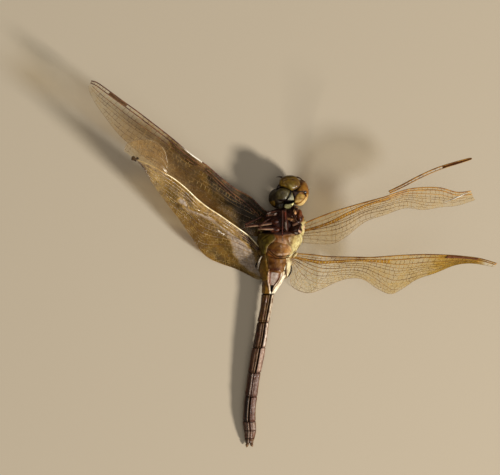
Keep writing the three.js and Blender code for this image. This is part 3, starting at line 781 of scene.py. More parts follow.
# ---- mouth plates ----
# What closes the mouth from below: two lobes of the lower lip on either side of a slanting cleft,
# the lip's short base, two dark jaws and a pale cheek. Each is a domed shell with a dark rim. The
# right lobe and the right half of the base are dark in painted shade, the left lobe pale grey in
# painted light, and both lobes carry painted highlights.
def mouth_relief(place):
    return 0.09 * lumps(place, 0.75, 8.0) + 0.03 * lumps(place, 0.3, 2.0)


def shaded_lobe_right_paint(place):
    x, y = place.xy
    # Painted shade: the lobe's dark olive.
    return layered((0.036, 0.025, 0.004), [
        ((0.078, 0.060, 0.019), 0.5 + 0.9 * lumps(place, 0.9, 3.0)),
        ((0.036, 0.026, 0.002), 0.8 * near(x, y, [(-2.6, -1.1)], 0.7)),
        # A painted highlight: a grey streak near the cleft.
        ((0.105, 0.092, 0.046), 0.8 * near(x, y, [(-0.9, 0.2), (-0.7, -0.8), (-1.5, -1.8)], 0.35)),
        ((0.032, 0.022, 0.006), 0.7 * ramp(-x, 3.0, 3.9)),
        (NEAR_BLACK, ramp(-y, 1.75, 2.1)),
    ])


def sunlit_lobe_left_paint(place):
    x, y = place.xy
    # Painted light: the lobe's pale blue-grey, with a painted highlight along its middle.
    return layered((0.17, 0.145, 0.072), [
        ((0.31, 0.305, 0.215), ramp(-y, 0.5, 2.0) + 0.5 * lumps(place, 0.6)),
        ((0.36, 0.32, 0.15), ramp(x, 0.4, 0.9) * ramp(-y, 1.4, 2.2)),
        ((0.42, 0.42, 0.33), 0.8 * near(x, y, [(0.05, -0.9), (-0.55, -2.0)], 0.18)),
    ])


def base_left_paint(place):
    colour = blend((0.17, 0.15, 0.055), (0.66, 0.60, 0.23), ramp(-place.y + 0.5 * place.x, 2.9, 3.3))
    return blend(colour, (0.76, 0.73, 0.36), 0.5 + 0.8 * lumps(place, 0.5))


def shaded_base_right_paint(place):
    # Painted shade: near black, with a dim olive spot.
    colour = blend((0.022, 0.013, 0.003), (0.012, 0.007, 0.002), 0.5 + lumps(place, 0.6))
    return blend(colour, (0.075, 0.053, 0.011), near(place.x, place.y, [(-2.9, -4.2)], 0.4))


def jaw_paint(place):
    return layered(NEAR_BLACK, [
        ((0.034, 0.011, 0.002), 0.4 + 0.9 * lumps(place, 0.6, 3.0)),
        ((0.15, 0.07, 0.008), 0.9 * ramp(-place.y, 1.2, 2.0) * ramp(place.x, 1.1, 1.4)),
        ((0.09, 0.03, 0.006), ramp(place.x, 2.8, 3.2)),
    ])


def cheek_paint(place):
    x, y = place.xy
    return layered((0.15, 0.062, 0.006), [
        ((0.30, 0.18, 0.034), ramp(x, 1.2, 2.2) + 0.5 * lumps(place, 0.6)),
        ((0.54, 0.35, 0.095), ramp(x, 2.9, 3.6) * ramp(y, -2.2, -1.2)),
        ((0.40, 0.25, 0.06), ramp(-y, 2.0, 2.8)),
        ((0.20, 0.085, 0.010), 0.7 * near(x, y, [(2.9, -2.5), (3.5, -2.1)], 0.16)),
    ])


# [outline, height of its edge, how far it rises, paint, nodes it stands for]
MOUTH_PLATES = {
    "lip_lobe_right": [[
        (-3.15, 0.85), (-2.2, 1.3), (-1.1, 1.05), (0.05, 0.35), (-0.15, -0.55), (-0.72, -1.5),
        (-1.25, -2.25), (-2.5, -2.55), (-3.6, -2.05), (-4.15, -1.0), (-4.05, 0.1),
    ], 2.5, 1.2, shaded_lobe_right_paint, ["labium_right"]],
    "lip_lobe_left": [[
        (0.45, 0.1), (0.75, -0.7), (0.95, -1.6), (1.0, -2.35), (0.3, -2.42), (-0.95, -2.25), (-0.5, -1.5),
        (0.02, -0.7),
    ], 2.5, 1.1, sunlit_lobe_left_paint, ["labium_left"]],
    "lip_base_left": [[
        (-1.35, -3.25), (-0.4, -3.3), (0.5, -3.1), (1.1, -2.95), (0.75, -3.7), (-0.1, -4.5), (-1.0, -4.7),
        (-1.75, -4.3), (-1.7, -3.6),
    ], 2.3, 0.8, base_left_paint, ["mentum"]],
    "lip_base_right": [[
        (-3.4, -2.85), (-2.5, -2.8), (-1.8, -3.0), (-1.8, -3.8), (-2.1, -4.65), (-3.1, -4.75),
        (-3.9, -3.9), (-3.8, -3.2),
    ], 2.0, 0.7, shaded_base_right_paint, []],
    "jaw_left": [[
        (0.7, 0.2), (1.5, 0.4), (2.3, 0.35), (3.1, 0.05), (3.3, -0.45), (2.5, -0.55), (1.7, -0.75),
        (1.25, -1.4), (1.1, -2.1), (0.9, -1.3),
    ], 2.5, 0.6, jaw_paint, ["mandible_left"]],
    "cheek_left": [[
        (2.4, -0.5), (3.4, -0.5), (4.2, -1.05), (4.0, -1.95), (3.3, -2.7), (2.3, -3.15), (1.15, -3.1),
        (1.0, -2.5), (1.2, -1.6), (1.6, -0.9),
    ], 2.45, 0.9, cheek_paint, []],
    "jaw_right": [[
        (-3.6, 0.9), (-3.0, 1.0), (-2.2, 1.5), (-2.3, 2.2), (-2.7, 2.4), (-3.2, 1.8),
    ], 1.7, 0.6, jaw_paint, ["mandible_right"]],
}
CHEEK_RIM = (0.060, 0.022, 0.003)
for plate_name, (outline, height, rise, inner_paint, replaced) in MOUTH_PLATES.items():
    rim_colour = CHEEK_RIM if inner_paint == cheek_paint else NEAR_BLACK

    def rimmed_paint(place):
        rim = 1 - ramp(within(place.x, place.y, outline), 0.03, 0.14)
        return blend(inner_paint(place), rim_colour, 0.9 * rim)

    mouth_plate = cushion(outline, rise, lambda x, y: height - 0.03 * x * x, 120, 72, 2.8, mouth_relief)
    finish_piece(plate_name, mouth_plate, face_horn, replaced, rimmed_paint, HEAD_PLACE)

# ---- feelers ----
# Two short stiff bristles in front of the eyes, knotted along their length and thinning to a point.
# The left one is bent along its eye, and its broken end lies across the eye's rim.
# [x, y, z, radius] along each
FEELERS = {
    "antenna_right": [
        (-1.4, 4.1, -0.5, 0.30), (-1.9, 4.4, -0.8, 0.24), (-2.6, 4.5, -1.0, 0.12), (-3.2, 4.4, -1.0, 0.06),
    ],
    "antenna_left": [
        (1.6, 4.0, -0.3, 0.28), (2.5, 4.1, 0.1, 0.20), (3.4, 3.6, 0.6, 0.13), (4.1, 2.9, 0.8, 0.06),
    ],
    "broken_feeler_end": [(4.9, -0.1, 0.8, 0.06), (5.4, 0.3, 0.8, 0.05), (6.0, 0.8, 0.8, 0.03)],
}
UP = Vector((0, 0, 1))
RIDGE_HEIGHT = 0.09                    # of the ridges round a rod, as a share of its radius


def path_point(stations, k):
    """The point and radius at part k of a smooth path through [x, y, z, radius] stations."""
    *point, radius = along_rows(stations, k * (len(stations) - 1))
    return Vector(point), radius


def path_heading(stations, k):
    """The step along a smooth path round its part k."""
    return path_point(stations, min(1.0, k + 0.02))[0] - path_point(stations, max(0.0, k - 0.02))[0]


def rod(stations, around, along, knots=0, knot_height=0.0, ridges=0, squareness=4.0):
    """A tapered rod along a smooth path, with swollen knots along it or ridges round it."""
    def place(k, angle, girth):
        middle, radius = path_point(stations, k)
        ahead = path_heading(stations, k)
        side = ahead.cross(UP).normalized()
        over = side.cross(ahead).normalized()
        swell = 1 + knot_height * math.cos(2 * math.pi * knots * k) if knots else 1.0
        if ridges:
            swell *= 1 + RIDGE_HEIGHT * math.cos(ridges * angle)
        return middle + radius * swell * girth * (math.cos(angle) * side + math.sin(angle) * over)

    return warped_ball(place, around, along, squareness)


def feeler_paint(place):
    return blend(NEAR_BLACK, BURNT, 0.5 + 0.5 * lumps(place, 0.3))


for feeler_name, feeler_stations in FEELERS.items():
    feeler = rod(feeler_stations, 16, 60, knots=9, knot_height=0.15)
    replaced = [feeler_name] if feeler_name.startswith("antenna") else []
    finish_piece(feeler_name + "_bristle", feeler, dark_horn, replaced, feeler_paint, HEAD_PLACE)

# ---- legs ----
# Six legs folded over the breast: a barrel-shaped root, a grooved thigh, a thin shin with two rows
# of stiff bristles, and a jointed foot with two claws. All are dark mahogany horn, with a paler
# pinkish edge painted along the sides that face the tail as painted light.
FOOT_SHARE = 0.30                      # of the shin and foot together
# [centre, radii, turn]
LEG_ROOTS = {
    "fore_right": [(-0.5, 6.0, 10.0), (1.2, 1.0, 1.3), 0.3],
    "fore_left": [(5.1, 5.8, 9.9), (1.05, 1.95, 1.5), 0.1],
    "mid_right": [(-1.5, 4.4, 10.5), (1.35, 1.0, 1.3), 0.2],
    "mid_left": [(2.9, 4.75, 10.6), (1.15, 0.8, 1.35), -0.5],
    "hind_right": [(-1.6, 2.3, 10.8), (1.5, 1.0, 1.3), 0.1],
    "hind_left": [(4.0, 2.2, 10.3), (1.85, 1.5, 1.5), -0.25],
}
# hip and knee end the thigh; shin and toe end the shin with its foot; then the thigh's thickness
LEGS = {
    "fore_right": [(-0.9, 6.5, 11.3), (-4.0, 6.1, 11.8), (-3.7, 6.7, 12.5), (-0.5, 7.2, 12.9), 0.42],
    "mid_right": [(-2.3, 4.0, 11.9), (-9.75, 3.05, 12.7), (-9.6, 3.6, 13.4), (-5.2, 5.5, 13.9), 0.46],
    "hind_right": [(-1.9, 2.5, 12.1), (-6.2, 2.55, 12.7), (-6.0, 3.1, 13.4), (-3.0, 5.1, 14.1), 0.46],
    "fore_left": [(4.5, 7.9, 11.0), (3.3, 5.9, 12.3), (3.3, 6.3, 13.0), (4.4, 4.3, 13.0), 0.55],
    "mid_left": [(3.0, 3.5, 11.7), (5.4, 4.5, 11.9), (5.5, 3.7, 12.5), (4.4, 1.1, 12.6), 0.6],
    "hind_left": [(1.6, 1.6, 12.3), (1.1, 7.6, 13.3), (0.4, 7.3, 14.1), (0.4, -1.2, 13.3), 0.5],
}
LIMB_ARCH = Vector((0, 0, 0.15))       # how far a thigh's middle arches up
# [share of the length, radius, share of the arch]; a thigh's radii are shares of its thickness
THIGH_PROFILE = [(0, 0.8, 0), (0.12, 1, 0), (0.5, 1, 1), (0.9, 0.75, 0), (1, 0.65, 0)]
SHIN_PROFILE = [(0, 0.30, 0), (0.1, 0.27, 0), (0.6, 0.23, 0), (1, 0.2, 0)]
FOOT_PROFILE = [(0, 0.17, 0), (0.5, 0.14, 0.3), (1, 0.12, 0)]
LIT_EDGE_LEGS = ("mid_right", "hind_right")
BRISTLE_LENGTH = 0.7
BRISTLE_RADIUS = 0.03
BRISTLE_LEAN = 0.6
CLAW_LENGTH = 0.4
CLAW_RADIUS = 0.05
LIT_EDGE_PINK = (0.30, 0.185, 0.115)
# Worn or scaly places, then painted light: [line, colour, half width]
WORN_AND_LIT = [
    ([(1.3, 3.9), (1.3, 2.4)], (0.24, 0.185, 0.145), 0.22),
    ([(0.62, 0.2), (0.62, -1.1)], (0.46, 0.33, 0.20), 0.16),
    ([(0.35, 2.7), (0.35, 0.5)], (0.075, 0.012, 0.005), 0.20),
    ([(1.1, 6.8), (1.2, 5.0)], (0.13, 0.020, 0.006), 0.20),
    # From here on, painted light: lit facets, a bluish glint and grey glints on the roots and legs.
    ([(3.4, 7.7), (4.0, 6.5)], (0.50, 0.26, 0.11), 0.36),
    ([(2.2, 5.2), (3.6, 4.6)], (0.30, 0.138, 0.052), 0.48),
    ([(4.0, 1.25), (4.5, 1.1)], (0.17, 0.145, 0.12), 0.22),
    ([(5.0, 1.8), (5.5, 1.4)], (0.45, 0.28, 0.17), 0.30),
    ([(-3.7, 6.3), (-2.9, 6.7)], (0.20, 0.165, 0.14), 0.16),
    ([(-1.6, 6.3), (-0.8, 6.9)], (0.20, 0.165, 0.14), 0.16),
]


def worn_and_lit(place, colour):
    for line, mark_colour, width in WORN_AND_LIT:
        off = off_line(place.x, place.y, line) + 0.12 * lumps(place, 0.35)
        colour = blend(colour, mark_colour, 0.95 * (1 - ramp(off, 0.6 * width, 1.15 * width)))
    return colour


def root_paint(place):
    x, y = place.xy
    colour = blend(DARK_RED, (0.070, 0.016, 0.005), 0.4 + 0.9 * lumps(place, 0.9, 2.0))
    if x > 0.0:
        colour = blend(colour, (0.125, 0.034, 0.009), ramp(y - 0.5 * x, 2.6, 3.6) * ramp(x, 3.8, 4.6))
        colour = blend(colour, (0.018, 0.005, 0.001), 0.8 * (1 - ramp(y, 3.4, 4.2)))
    return worn_and_lit(place, colour)


def leg_paint(start, stop, lit_edge_share=1.0):
    """Dark horn, with a thin pinkish edge along the rod's tail side that is painted light."""
    line = (stop - start).normalized()

    def paint(place):
        beside = (place - start) - (place - start).dot(line) * line
        # Painted light: the side towards the lamp gets a pale pinkish edge.
        edge = ramp(0.2 * beside.z - beside.y, 0.20, 0.42)
        colour = blend(DARK_RED, (0.050, 0.012, 0.004), 0.5 + 0.8 * lumps(place, 0.9, 2.0))
        colour = blend(colour, LIT_EDGE_PINK, lit_edge_share * edge * (0.8 + 0.5 * lumps(place, 0.7, 4.0)))
        return worn_and_lit(place, colour)
    return paint


def add_bristle(bm, root, direction, length, radius):
    turn = direction.to_track_quat("Z", "Y").to_matrix().to_4x4()
    middle = Matrix.Translation(root + 0.5 * length * direction.normalized())
    bmesh.ops.create_cone(
        bm, cap_ends=True, segments=5, radius1=radius, radius2=0.2 * radius,
        depth=length, matrix=middle @ turn,
    )


def bristled_rod(stations, rows, count, length, **options):
    """A rod with rows of bristles that stand off its sides and lean to its tip."""
    bm = rod(stations, **options)
    for row in rows:
        for i in range(count):
            k = 0.12 + 0.8 * i / count
            middle, radius = path_point(stations, k)
            ahead = (path_point(stations, k + 0.03)[0] - middle).normalized()
            side = ahead.cross(UP).normalized()
            over = side.cross(ahead)
            outward = math.cos(row) * side + math.sin(row) * over
            leaning = outward + BRISTLE_LEAN * ahead
            add_bristle(bm, middle + 0.8 * radius * outward, leaning, length, BRISTLE_RADIUS)
    return bm


def limb(start, stop, profile, thickness=1.0):
    """Stations along a limb from start to stop, as thick as its profile says."""
    return [
        (*(start.lerp(stop, share) + arch * LIMB_ARCH), radius * thickness)
        for share, radius, arch in profile
    ]


for leg_name, (hip, knee, shin, toe, thickness) in LEGS.items():
    hip, knee, shin, toe = (Vector(point) for point in (hip, knee, shin, toe))
    piece_name = "leg_" + leg_name
    root_centre, root_radii, root_turn = LEG_ROOTS[leg_name]
    root_barrel = egg(
        root_centre, root_radii, (0.2, 0, root_turn), 72, 52,
        lambda place: 0.16 * lumps(place, 0.8, 4.0) + 0.05 * math.sin(5 * place.z),
    )
    finish_piece(piece_name + "_root", root_barrel, dark_horn, [piece_name + "_coxa"], root_paint)
    thigh_line = limb(hip, knee, THIGH_PROFILE, thickness)
    thigh = bristled_rod(thigh_line, (-0.4, 3.5), 9, 0.35, around=28, along=56, ridges=4)
    thigh_paint = leg_paint(hip, knee, 1.0 if leg_name in LIT_EDGE_LEGS else 0.3)
    finish_piece(piece_name + "_thigh", thigh, dark_horn, [piece_name + "_femur"], thigh_paint)
    ankle = shin.lerp(toe, 1 - FOOT_SHARE)
    shin_line = limb(shin, ankle, SHIN_PROFILE)
    shin_rod = bristled_rod(shin_line, (-0.3, 3.4), 10, BRISTLE_LENGTH, around=20, along=48, ridges=4)
    foot = rod(limb(ankle, toe, FOOT_PROFILE), around=14, along=36, knots=3, knot_height=0.22)
    foot_data = bpy.data.meshes.new("foot")
    foot.to_mesh(foot_data)
    foot.free()
    shin_rod.from_mesh(foot_data)
    bpy.data.meshes.remove(foot_data)
    ahead = (toe - ankle).normalized()
    for spread in (-0.5, 0.5):
        claw = ahead + spread * ahead.cross(UP).normalized()
        add_bristle(shin_rod, toe - 0.1 * ahead, claw, CLAW_LENGTH, CLAW_RADIUS)
    finish_piece(
        piece_name + "_shin", shin_rod, dark_horn, [piece_name + "_tibia"], leg_paint(shin, toe)
    )

# ---- tail ----
# The abdomen: ten rings, each a back plate whose edges fold under to a groove along the belly.
# The first two are wide and soft, the rest slim and stiff, and each ends in a thick hoop.
# [y, centre x, half width, centre z, half height]
TAIL_SECTIONS = [
    (-7.2, -1.2, 3.5, 5.0, 3.6),
    (-9.4, -1.5, 3.8, 4.8, 4.0),
    (-11.5, -1.85, 3.1, 4.6, 3.6),
    (-13.4, -2.4, 2.55, 4.4, 2.8),
    (-15.8, -3.25, 1.85, 4.2, 2.1),
    (-19.5, -3.8, 1.6, 4.0, 1.8),
    (-23.7, -4.6, 1.7, 3.8, 1.8),
    (-27.5, -5.15, 1.75, 3.6, 1.75),
    (-30.8, -5.75, 1.85, 3.4, 1.75),
    (-34.5, -6.4, 1.9, 3.15, 1.7),
    (-37.9, -7.05, 1.8, 2.9, 1.65),
    (-41.3, -7.55, 1.75, 2.65, 1.65),
    (-44.7, -8.0, 1.8, 2.4, 1.65),
    (-48.3, -8.4, 1.7, 2.1, 1.6),
    (-51.9, -8.5, 1.8, 1.8, 1.6),
    (-54.5, -8.3, 1.75, 1.55, 1.5),
    (-56.8, -8.4, 1.4, 1.25, 1.25),
    (-58.2, -8.45, 1.1, 1.1, 1.05),
]
RING_JOINTS = [-7.3, -9.1, -15.8, -23.7, -30.8, -37.9, -44.7, -51.9, -54.5, -56.8, -58.2]
JOINT_GAP = 0.03
RING_SPANS = (32, 96, 72, 72, 72, 72, 72, 48, 40, 40)
# Where the belly groove of each ring runs, as a share of its half width, and how deep it is.
GROOVES = [
    (0, 0), (0, 0), (0.42, 0.7), (0.34, 0.75), (0.12, 0.7), (-0.10, 0.2), (-0.10, 0.7), (0.0, 0.3),
    (0, 0.2), (0, 0.1),
]
# The flaps of each slim ring from below: [outer right, inner right, inner left, outer left]. The left
# flaps are lighter in part as painted light and the right ones darker in part as painted shade.
FLAPS = {
    2: [(0.080, 0.032, 0.005), (0.135, 0.066, 0.015), (0.17, 0.085, 0.032), (0.72, 0.62, 0.46)],
    3: [(0.022, 0.007, 0.002), (0.115, 0.052, 0.015), (0.38, 0.31, 0.26), (0.62, 0.50, 0.39)],
    4: [(0.055, 0.016, 0.004), (0.125, 0.064, 0.030), (0.30, 0.195, 0.145), (0.42, 0.30, 0.23)],
    5: [(0.042, 0.013, 0.005), (0.066, 0.034, 0.022), (0.078, 0.038, 0.024), (0.165, 0.090, 0.064)],
    6: [(0.018, 0.007, 0.004), (0.036, 0.026, 0.021), (0.054, 0.017, 0.008), (0.16, 0.085, 0.058)],
    7: [(0.060, 0.024, 0.010), (0.088, 0.060, 0.048), (0.105, 0.060, 0.046), (0.26, 0.180, 0.135)],
    8: [(0.055, 0.022, 0.010), (0.100, 0.064, 0.045), (0.150, 0.095, 0.068), (0.16, 0.080, 0.050)],
    9: [(0.080, 0.040, 0.014), (0.085, 0.046, 0.020), (0.045, 0.023, 0.012), (0.18, 0.100, 0.050)],
}
# Parts of the soft second ring from below.
SOFT_SKIN = [
    (-3.1, -8.7), (-0.5, -8.9), (0.3, -9.7), (0.15, -10.9), (-0.5, -12.1), (-1.4, -13.2), (-1.95, -14.3),
    (-2.35, -15.6), (-2.7, -14.6), (-2.8, -13.3), (-3.05, -12.0), (-3.15, -10.5),
]
GREY_SKIN = [
    (-2.3, -9.2), (-0.9, -9.4), (-0.45, -10.2), (-0.55, -11.2), (-1.1, -12.2), (-1.8, -13.2), (-2.4, -13.4),
    (-2.6, -12.1), (-2.6, -10.6),
]
BLACK_GAP = [(-2.7, -13.2), (-1.9, -13.2), (-1.95, -14.0), (-2.3, -15.7), (-2.6, -14.5)]
WHITE_EDGE = [(-3.1, -9.0), (-3.35, -10.5), (-3.35, -12.0), (-3.1, -13.3), (-2.9, -14.9)]
RUST_EDGE = [(0.7, -9.7), (0.45, -10.7), (-0.15, -12.05), (-1.25, -13.55), (-2.1, -15.0)]


def ring_relief(ring, front, back):
    shift, depth = GROOVES[ring]

    def relief(x, y, z, angle):
        middle, half_width = smooth_rows(TAIL_SECTIONS, y)[:2]
        off = x - middle - shift * half_width
        along = (front - y) / (front - back)
        dry = 0.09 * lumps((x * 1.6, y * 0.8, z * 1.6), 1.0, 3.0) + 0.03 * lumps((x, y, z), 0.4)
        if math.sin(angle) < 0:
            return dry + 0.08 * hump(x - middle, 0, 0.15)
        if ring < 2:
            folds = 0.25 * near(x, y, WHITE_EDGE, 0.2) + 0.2 * hump(off_line(x, y, RUST_EDGE), -0.1, 0.2)
            sunk = ramp(within(x, y, SOFT_SKIN), -0.05, 0.3) + ramp(within(x, y, BLACK_GAP), -0.1, 0.2)
            return dry + folds - 0.4 * sunk
        groove = -depth * hump(off, 0, 0.20) + 0.25 * depth * hump(abs(off), 0.38, 0.14)
        hoop = 0.12 * hump(along, 0.97, 0.03) + 0.05 * hump(along, 0.03, 0.03)
        neck = -0.08 * hump(along, 0.92, 0.03)
        pleats = 0.06 * math.sin(9 * off + 2 * lumps((x, y * 0.3, 0), 1.5))
        return groove + hoop + neck + dry + pleats
    return relief


def back_paint(off, along):
    """The upper side of a ring: dark brown, with a tan patch on each side and a black keel."""
    return layered((0.075, 0.030, 0.009), [
        ((0.24, 0.17, 0.055), ramp(abs(off), 0.5, 0.85) * (1 - ramp(along, 0.7, 0.9))),
        (NEAR_BLACK, 0.8 * hump(off, 0, 0.18)),
    ])


def ring_paint(ring, front, back):
    outer_right, inner_right, inner_left, outer_left = FLAPS[ring]
    shift, depth = GROOVES[ring]
    groove = blend((0.055, 0.020, 0.014), NEAR_BLACK, ramp(depth, 0.3, 0.6))
    groove_edge = 0.14 if depth > 0.3 else 0.1

    def paint(place):
        x, y, z = place
        middle, half_width, centre_z = smooth_rows(TAIL_SECTIONS, y)[:3]
        off = (x - middle) / half_width
        beside = off - shift
        along = (front - y) / (front - back)
        stripes = lumps((x * 3.5, y * 0.45, z * 3), 1.0, 2.0 + ring)
        if beside < 0:
            flap = layered(inner_right, [
                (outer_right, ramp(-beside / (1 + shift), 0.25, 0.8) + 0.9 * stripes),
                # A painted highlight: a grey line on the right flap beside the groove.
                ((0.20, 0.125, 0.070), 0.75 * hump(beside, -0.17, 0.06)),
            ])
        else:
            flap = layered(inner_left, [
                (outer_left, ramp(beside / (1 - shift), 0.2, 0.7) + 0.9 * stripes),
                ((0.15, 0.055, 0.014), 0.8 * hump(beside, 0.15, 0.05)),
            ])
        flap = layered(flap, [
            ((0.075, 0.016, 0.006), 0.75 * ramp(lumps(place, 0.8, 5.0), 0.25, 0.6)),
            ((0.080, 0.018, 0.005), 0.85 * hump(abs(off), 0.90, 0.07)),
            (groove, 1 - ramp(abs(beside), 0.07, groove_edge)),
            ((0.19, 0.075, 0.050), 0.7 * ramp(off, 0.1, 0.5) * hump(along, 0.98, 0.035)),
        ])
        ends = max(hump(along, 1.0, 0.018), hump(along, 0.0, 0.014), 0.6 * hump(along, 0.955, 0.012))
        return layered(back_paint(off, along), [
            (flap, ramp(z, centre_z - 0.3, centre_z + 0.5)),
            (NEAR_BLACK, 0.8 * ends * (1 - 0.6 * ramp(off, 0.1, 0.5))),
        ])
    return paint


def soft_ring_paint(place):
    """The soft first rings from below: an olive side, in part painted shade, grey-pink skin in a brown
    frame, and a cream side, in part painted light.
    """
    x, y, z = place
    patches = lumps(place, 0.9, 6.0)
    # Painted shade on the olive right side and painted light on the cream left side, over their own
    # colours.
    if x < -2.9:
        side = layered((0.19, 0.092, 0.006), [
            ((0.105, 0.042, 0.002), ramp(-y, 10.8, 12.2) + patches),
            ((0.18, 0.088, 0.009), ramp(-y, 13.0, 14.2)),
        ])
    else:
        darker = 0.3 + 1.2 * patches + 0.5 * ramp(y, -10.6, -9.6)
        side = blend((0.86, 0.82, 0.66), (0.66, 0.56, 0.36), darker)
    paler = ramp(x + 0.35 * (y + 10), -0.9, -0.2) + 0.5 * patches
    frame = blend((0.15, 0.048, 0.018), (0.30, 0.15, 0.070), paler)
    grey = blend((0.34, 0.265, 0.215), (0.42, 0.345, 0.30), 0.5 + 1.2 * lumps(place, 0.6, 2.0))
    below = layered(side, [
        (frame, ramp(within(x, y, SOFT_SKIN), -0.06, 0.08)),
        (grey, ramp(within(x, y, GREY_SKIN), -0.05, 0.12)),
        ((0.58, 0.38, 0.24), 0.9 * near(x, y, WHITE_EDGE, 0.14)),
        ((0.20, 0.075, 0.016), 0.95 * near(x, y, RUST_EDGE, 0.15)),
        (NEAR_BLACK, ramp(within(x, y, BLACK_GAP), -0.12, 0.05)),
    ])
    return layered(back_paint((x + 1.6) / 3.6, 0.3), [
        (below, ramp(z, 4.2, 5.4)),
        (NEAR_BLACK, 0.8 * hump(y, -15.65, 0.14)),
    ])


tail_horn = shell_material("tail_horn", roughness=0.42, mottle=0.55, coat=0.1)
for ring in range(10):
    front, back = RING_JOINTS[ring] - JOINT_GAP, RING_JOINTS[ring + 1] + JOINT_GAP
    relief = ring_relief(ring, front, back)
    ring_shell = warped_ball(
        lambda k, angle, girth: trunk_point(
            TAIL_SECTIONS, front + (back - front) * k, angle, girth, relief
        ),
        around=160, along=RING_SPANS[ring], squareness=12.0,
    )
    node = f"abdomen_{ring + 1:02d}"
    paint = soft_ring_paint if ring < 2 else ring_paint(ring, front, back)
    finish_piece(node + "_ring", ring_shell, tail_horn, [node], paint)

# ---- claspers ----
# Two small leaf-shaped tips on the last ring, spread a little apart: thin at the root, swollen in
# the middle and pointed at the end.
CLASPERS = {
    "cercus_right": [(-8.75, -58.0, 1.2, 0.30), (-9.1, -58.8, 1.1, 0.46), (-9.3, -59.6, 0.9, 0.12)],
    "cercus_left": [(-8.05, -58.0, 1.2, 0.30), (-7.8, -58.8, 1.1, 0.44), (-7.6, -59.4, 0.9, 0.12)],
}


def clasper_paint(place):
    return blend((0.11, 0.050, 0.014), (0.20, 0.11, 0.045), 0.5 + lumps(place, 0.4, 3.0))


for clasper_name, clasper_stations in CLASPERS.items():
    clasper = rod(clasper_stations, 24, 36, squareness=3.0)
    finish_piece(clasper_name + "_leaf", clasper, tail_horn, [clasper_name], clasper_paint)

# ---- wing roots ----
# Small plates of horn that hinge the wings on the thorax, and behind the hind wings the membranules:
# a white strip by a dark one on the right, and a grey film beside a black line on the left. A white
# rod at the left fore wing's tip is a painted highlight.
FILM_RISE = 0.12
# [centre, radii, turn, colour, second colour]
HINGE_PLATES = {
    "fore_hinge_front": [(6.25, 5.5, 6.6), (0.42, 0.85, 0.6), 0.3, (0.17, 0.06, 0.005), (0.30, 0.17, 0.04)],
    "fore_hinge_side": [(6.5, 4.2, 5.4), (0.60, 0.95, 0.5), -0.7, (0.30, 0.24, 0.10), (0.40, 0.31, 0.13)],
    "fore_hinge_pad": [(6.05, 2.95, 7.0), (0.85, 1.15, 0.9), 0.25, (0.46, 0.29, 0.17), (0.62, 0.44, 0.26)],
    "hind_hinge_pad": [(4.2, -4.9, 5.6), (0.4, 1.0, 0.5), -0.7, (0.34, 0.26, 0.11), (0.56, 0.46, 0.24)],
    "hind_hinge_rear": [(2.9, -6.9, 5.0), (0.4, 1.0, 0.5), -0.1, (0.36, 0.27, 0.12), (0.56, 0.46, 0.25)],
    "fore_hinge_right": [(-5.9, 3.6, 5.4), (0.8, 1.2, 0.6), 0.4, (0.06, 0.02, 0.005), (0.12, 0.055, 0.012)],
    "hind_hinge_right": [(-5.2, -4.3, 5.4), (0.7, 1.0, 0.6), 0.7, (0.12, 0.065, 0.012), (0.20, 0.12, 0.03)],
}
# [colour, then x, y, z and radius along each]
HEMS = {
    "white_membranule": [
        (0.78, 0.72, 0.60), (-4.95, -5.1, 7.4, 0.16), (-5.55, -6.0, 6.9, 0.24), (-5.85, -7.2, 6.3, 0.24),
        (-6.1, -8.9, 5.4, 0.12),
    ],
    # A painted highlight: a white rod at the left fore wing's tip.
    "tip_highlight": [
        (0.85, 0.80, 0.70), (43.4, 9.3, 15.6, 0.06), (46.0, 10.5, 18.3, 0.17), (47.6, 11.3, 19.4, 0.14),
        (49.4, 12.1, 20.4, 0.05),
    ],
    "dark_membranule": [
        (0.010, 0.004, 0.002), (-6.35, -6.9, 5.4, 0.14), (-6.65, -7.8, 5.0, 0.20), (-6.6, -8.7, 4.6, 0.10),
    ],
    # A black line beside the grey film.
    "black_line_left": [
        (0.008, 0.003, 0.002), (3.15, -7.5, 4.4, 0.11), (3.35, -8.6, 4.0, 0.14), (3.2, -9.7, 3.6, 0.14),
        (2.75, -10.6, 3.3, 0.13), (2.1, -11.2, 3.1, 0.07),
    ],
}
LEFT_FILM = [
    (1.9, -8.9), (2.5, -8.4), (3.0, -8.9), (2.95, -9.9), (2.6, -10.8), (2.0, -11.5), (1.2, -11.7),
    (1.0, -10.6),
]
# A dark shred of skin left where the right hind wing's tip is folded over.
TORN_BIT = [
    (-38.1, 20.3), (-37.5, 20.5), (-37.2, 20.1), (-36.6, 20.3), (-36.3, 19.8), (-36.9, 19.5), (-37.0, 19.1),
    (-37.6, 19.4), (-38.2, 19.5),
]


def lumpy_paint(first, second):
    return lambda place: blend(first, second, 0.5 + 1.1 * lumps(place, 0.5, 3.0))


for hinge_name, (centre, radii, turn, first, second) in HINGE_PLATES.items():
    hinge = egg(centre, radii, (0, 0, turn), 48, 36, lambda place: 0.09 * lumps(place, 0.5, 5.0))
    finish_piece(hinge_name, hinge, breast_horn, [], lumpy_paint(first, second))
for hem_name, (colour, *hem_path) in HEMS.items():
    hem_paint = lumpy_paint(colour, tuple(0.8 * c for c in colour))
    finish_piece(hem_name, rod(hem_path, 20, 60), breast_horn, [], hem_paint)
torn_bit = cushion(TORN_BIT, FILM_RISE, lambda x, y: 27.6, 64, 24)
torn_paint = lumpy_paint((0.020, 0.010, 0.004), (0.10, 0.055, 0.02))
finish_piece("torn_corner", torn_bit, breast_horn, [], torn_paint)
left_film = cushion(LEFT_FILM, FILM_RISE, lambda x, y: 3.3 + 0.25 * (y + 10), 64, 24)
left_film_paint = lumpy_paint((0.26, 0.21, 0.10), (0.42, 0.37, 0.24))
finish_piece("grey_membranule", left_film, breast_horn, [], left_film_paint)

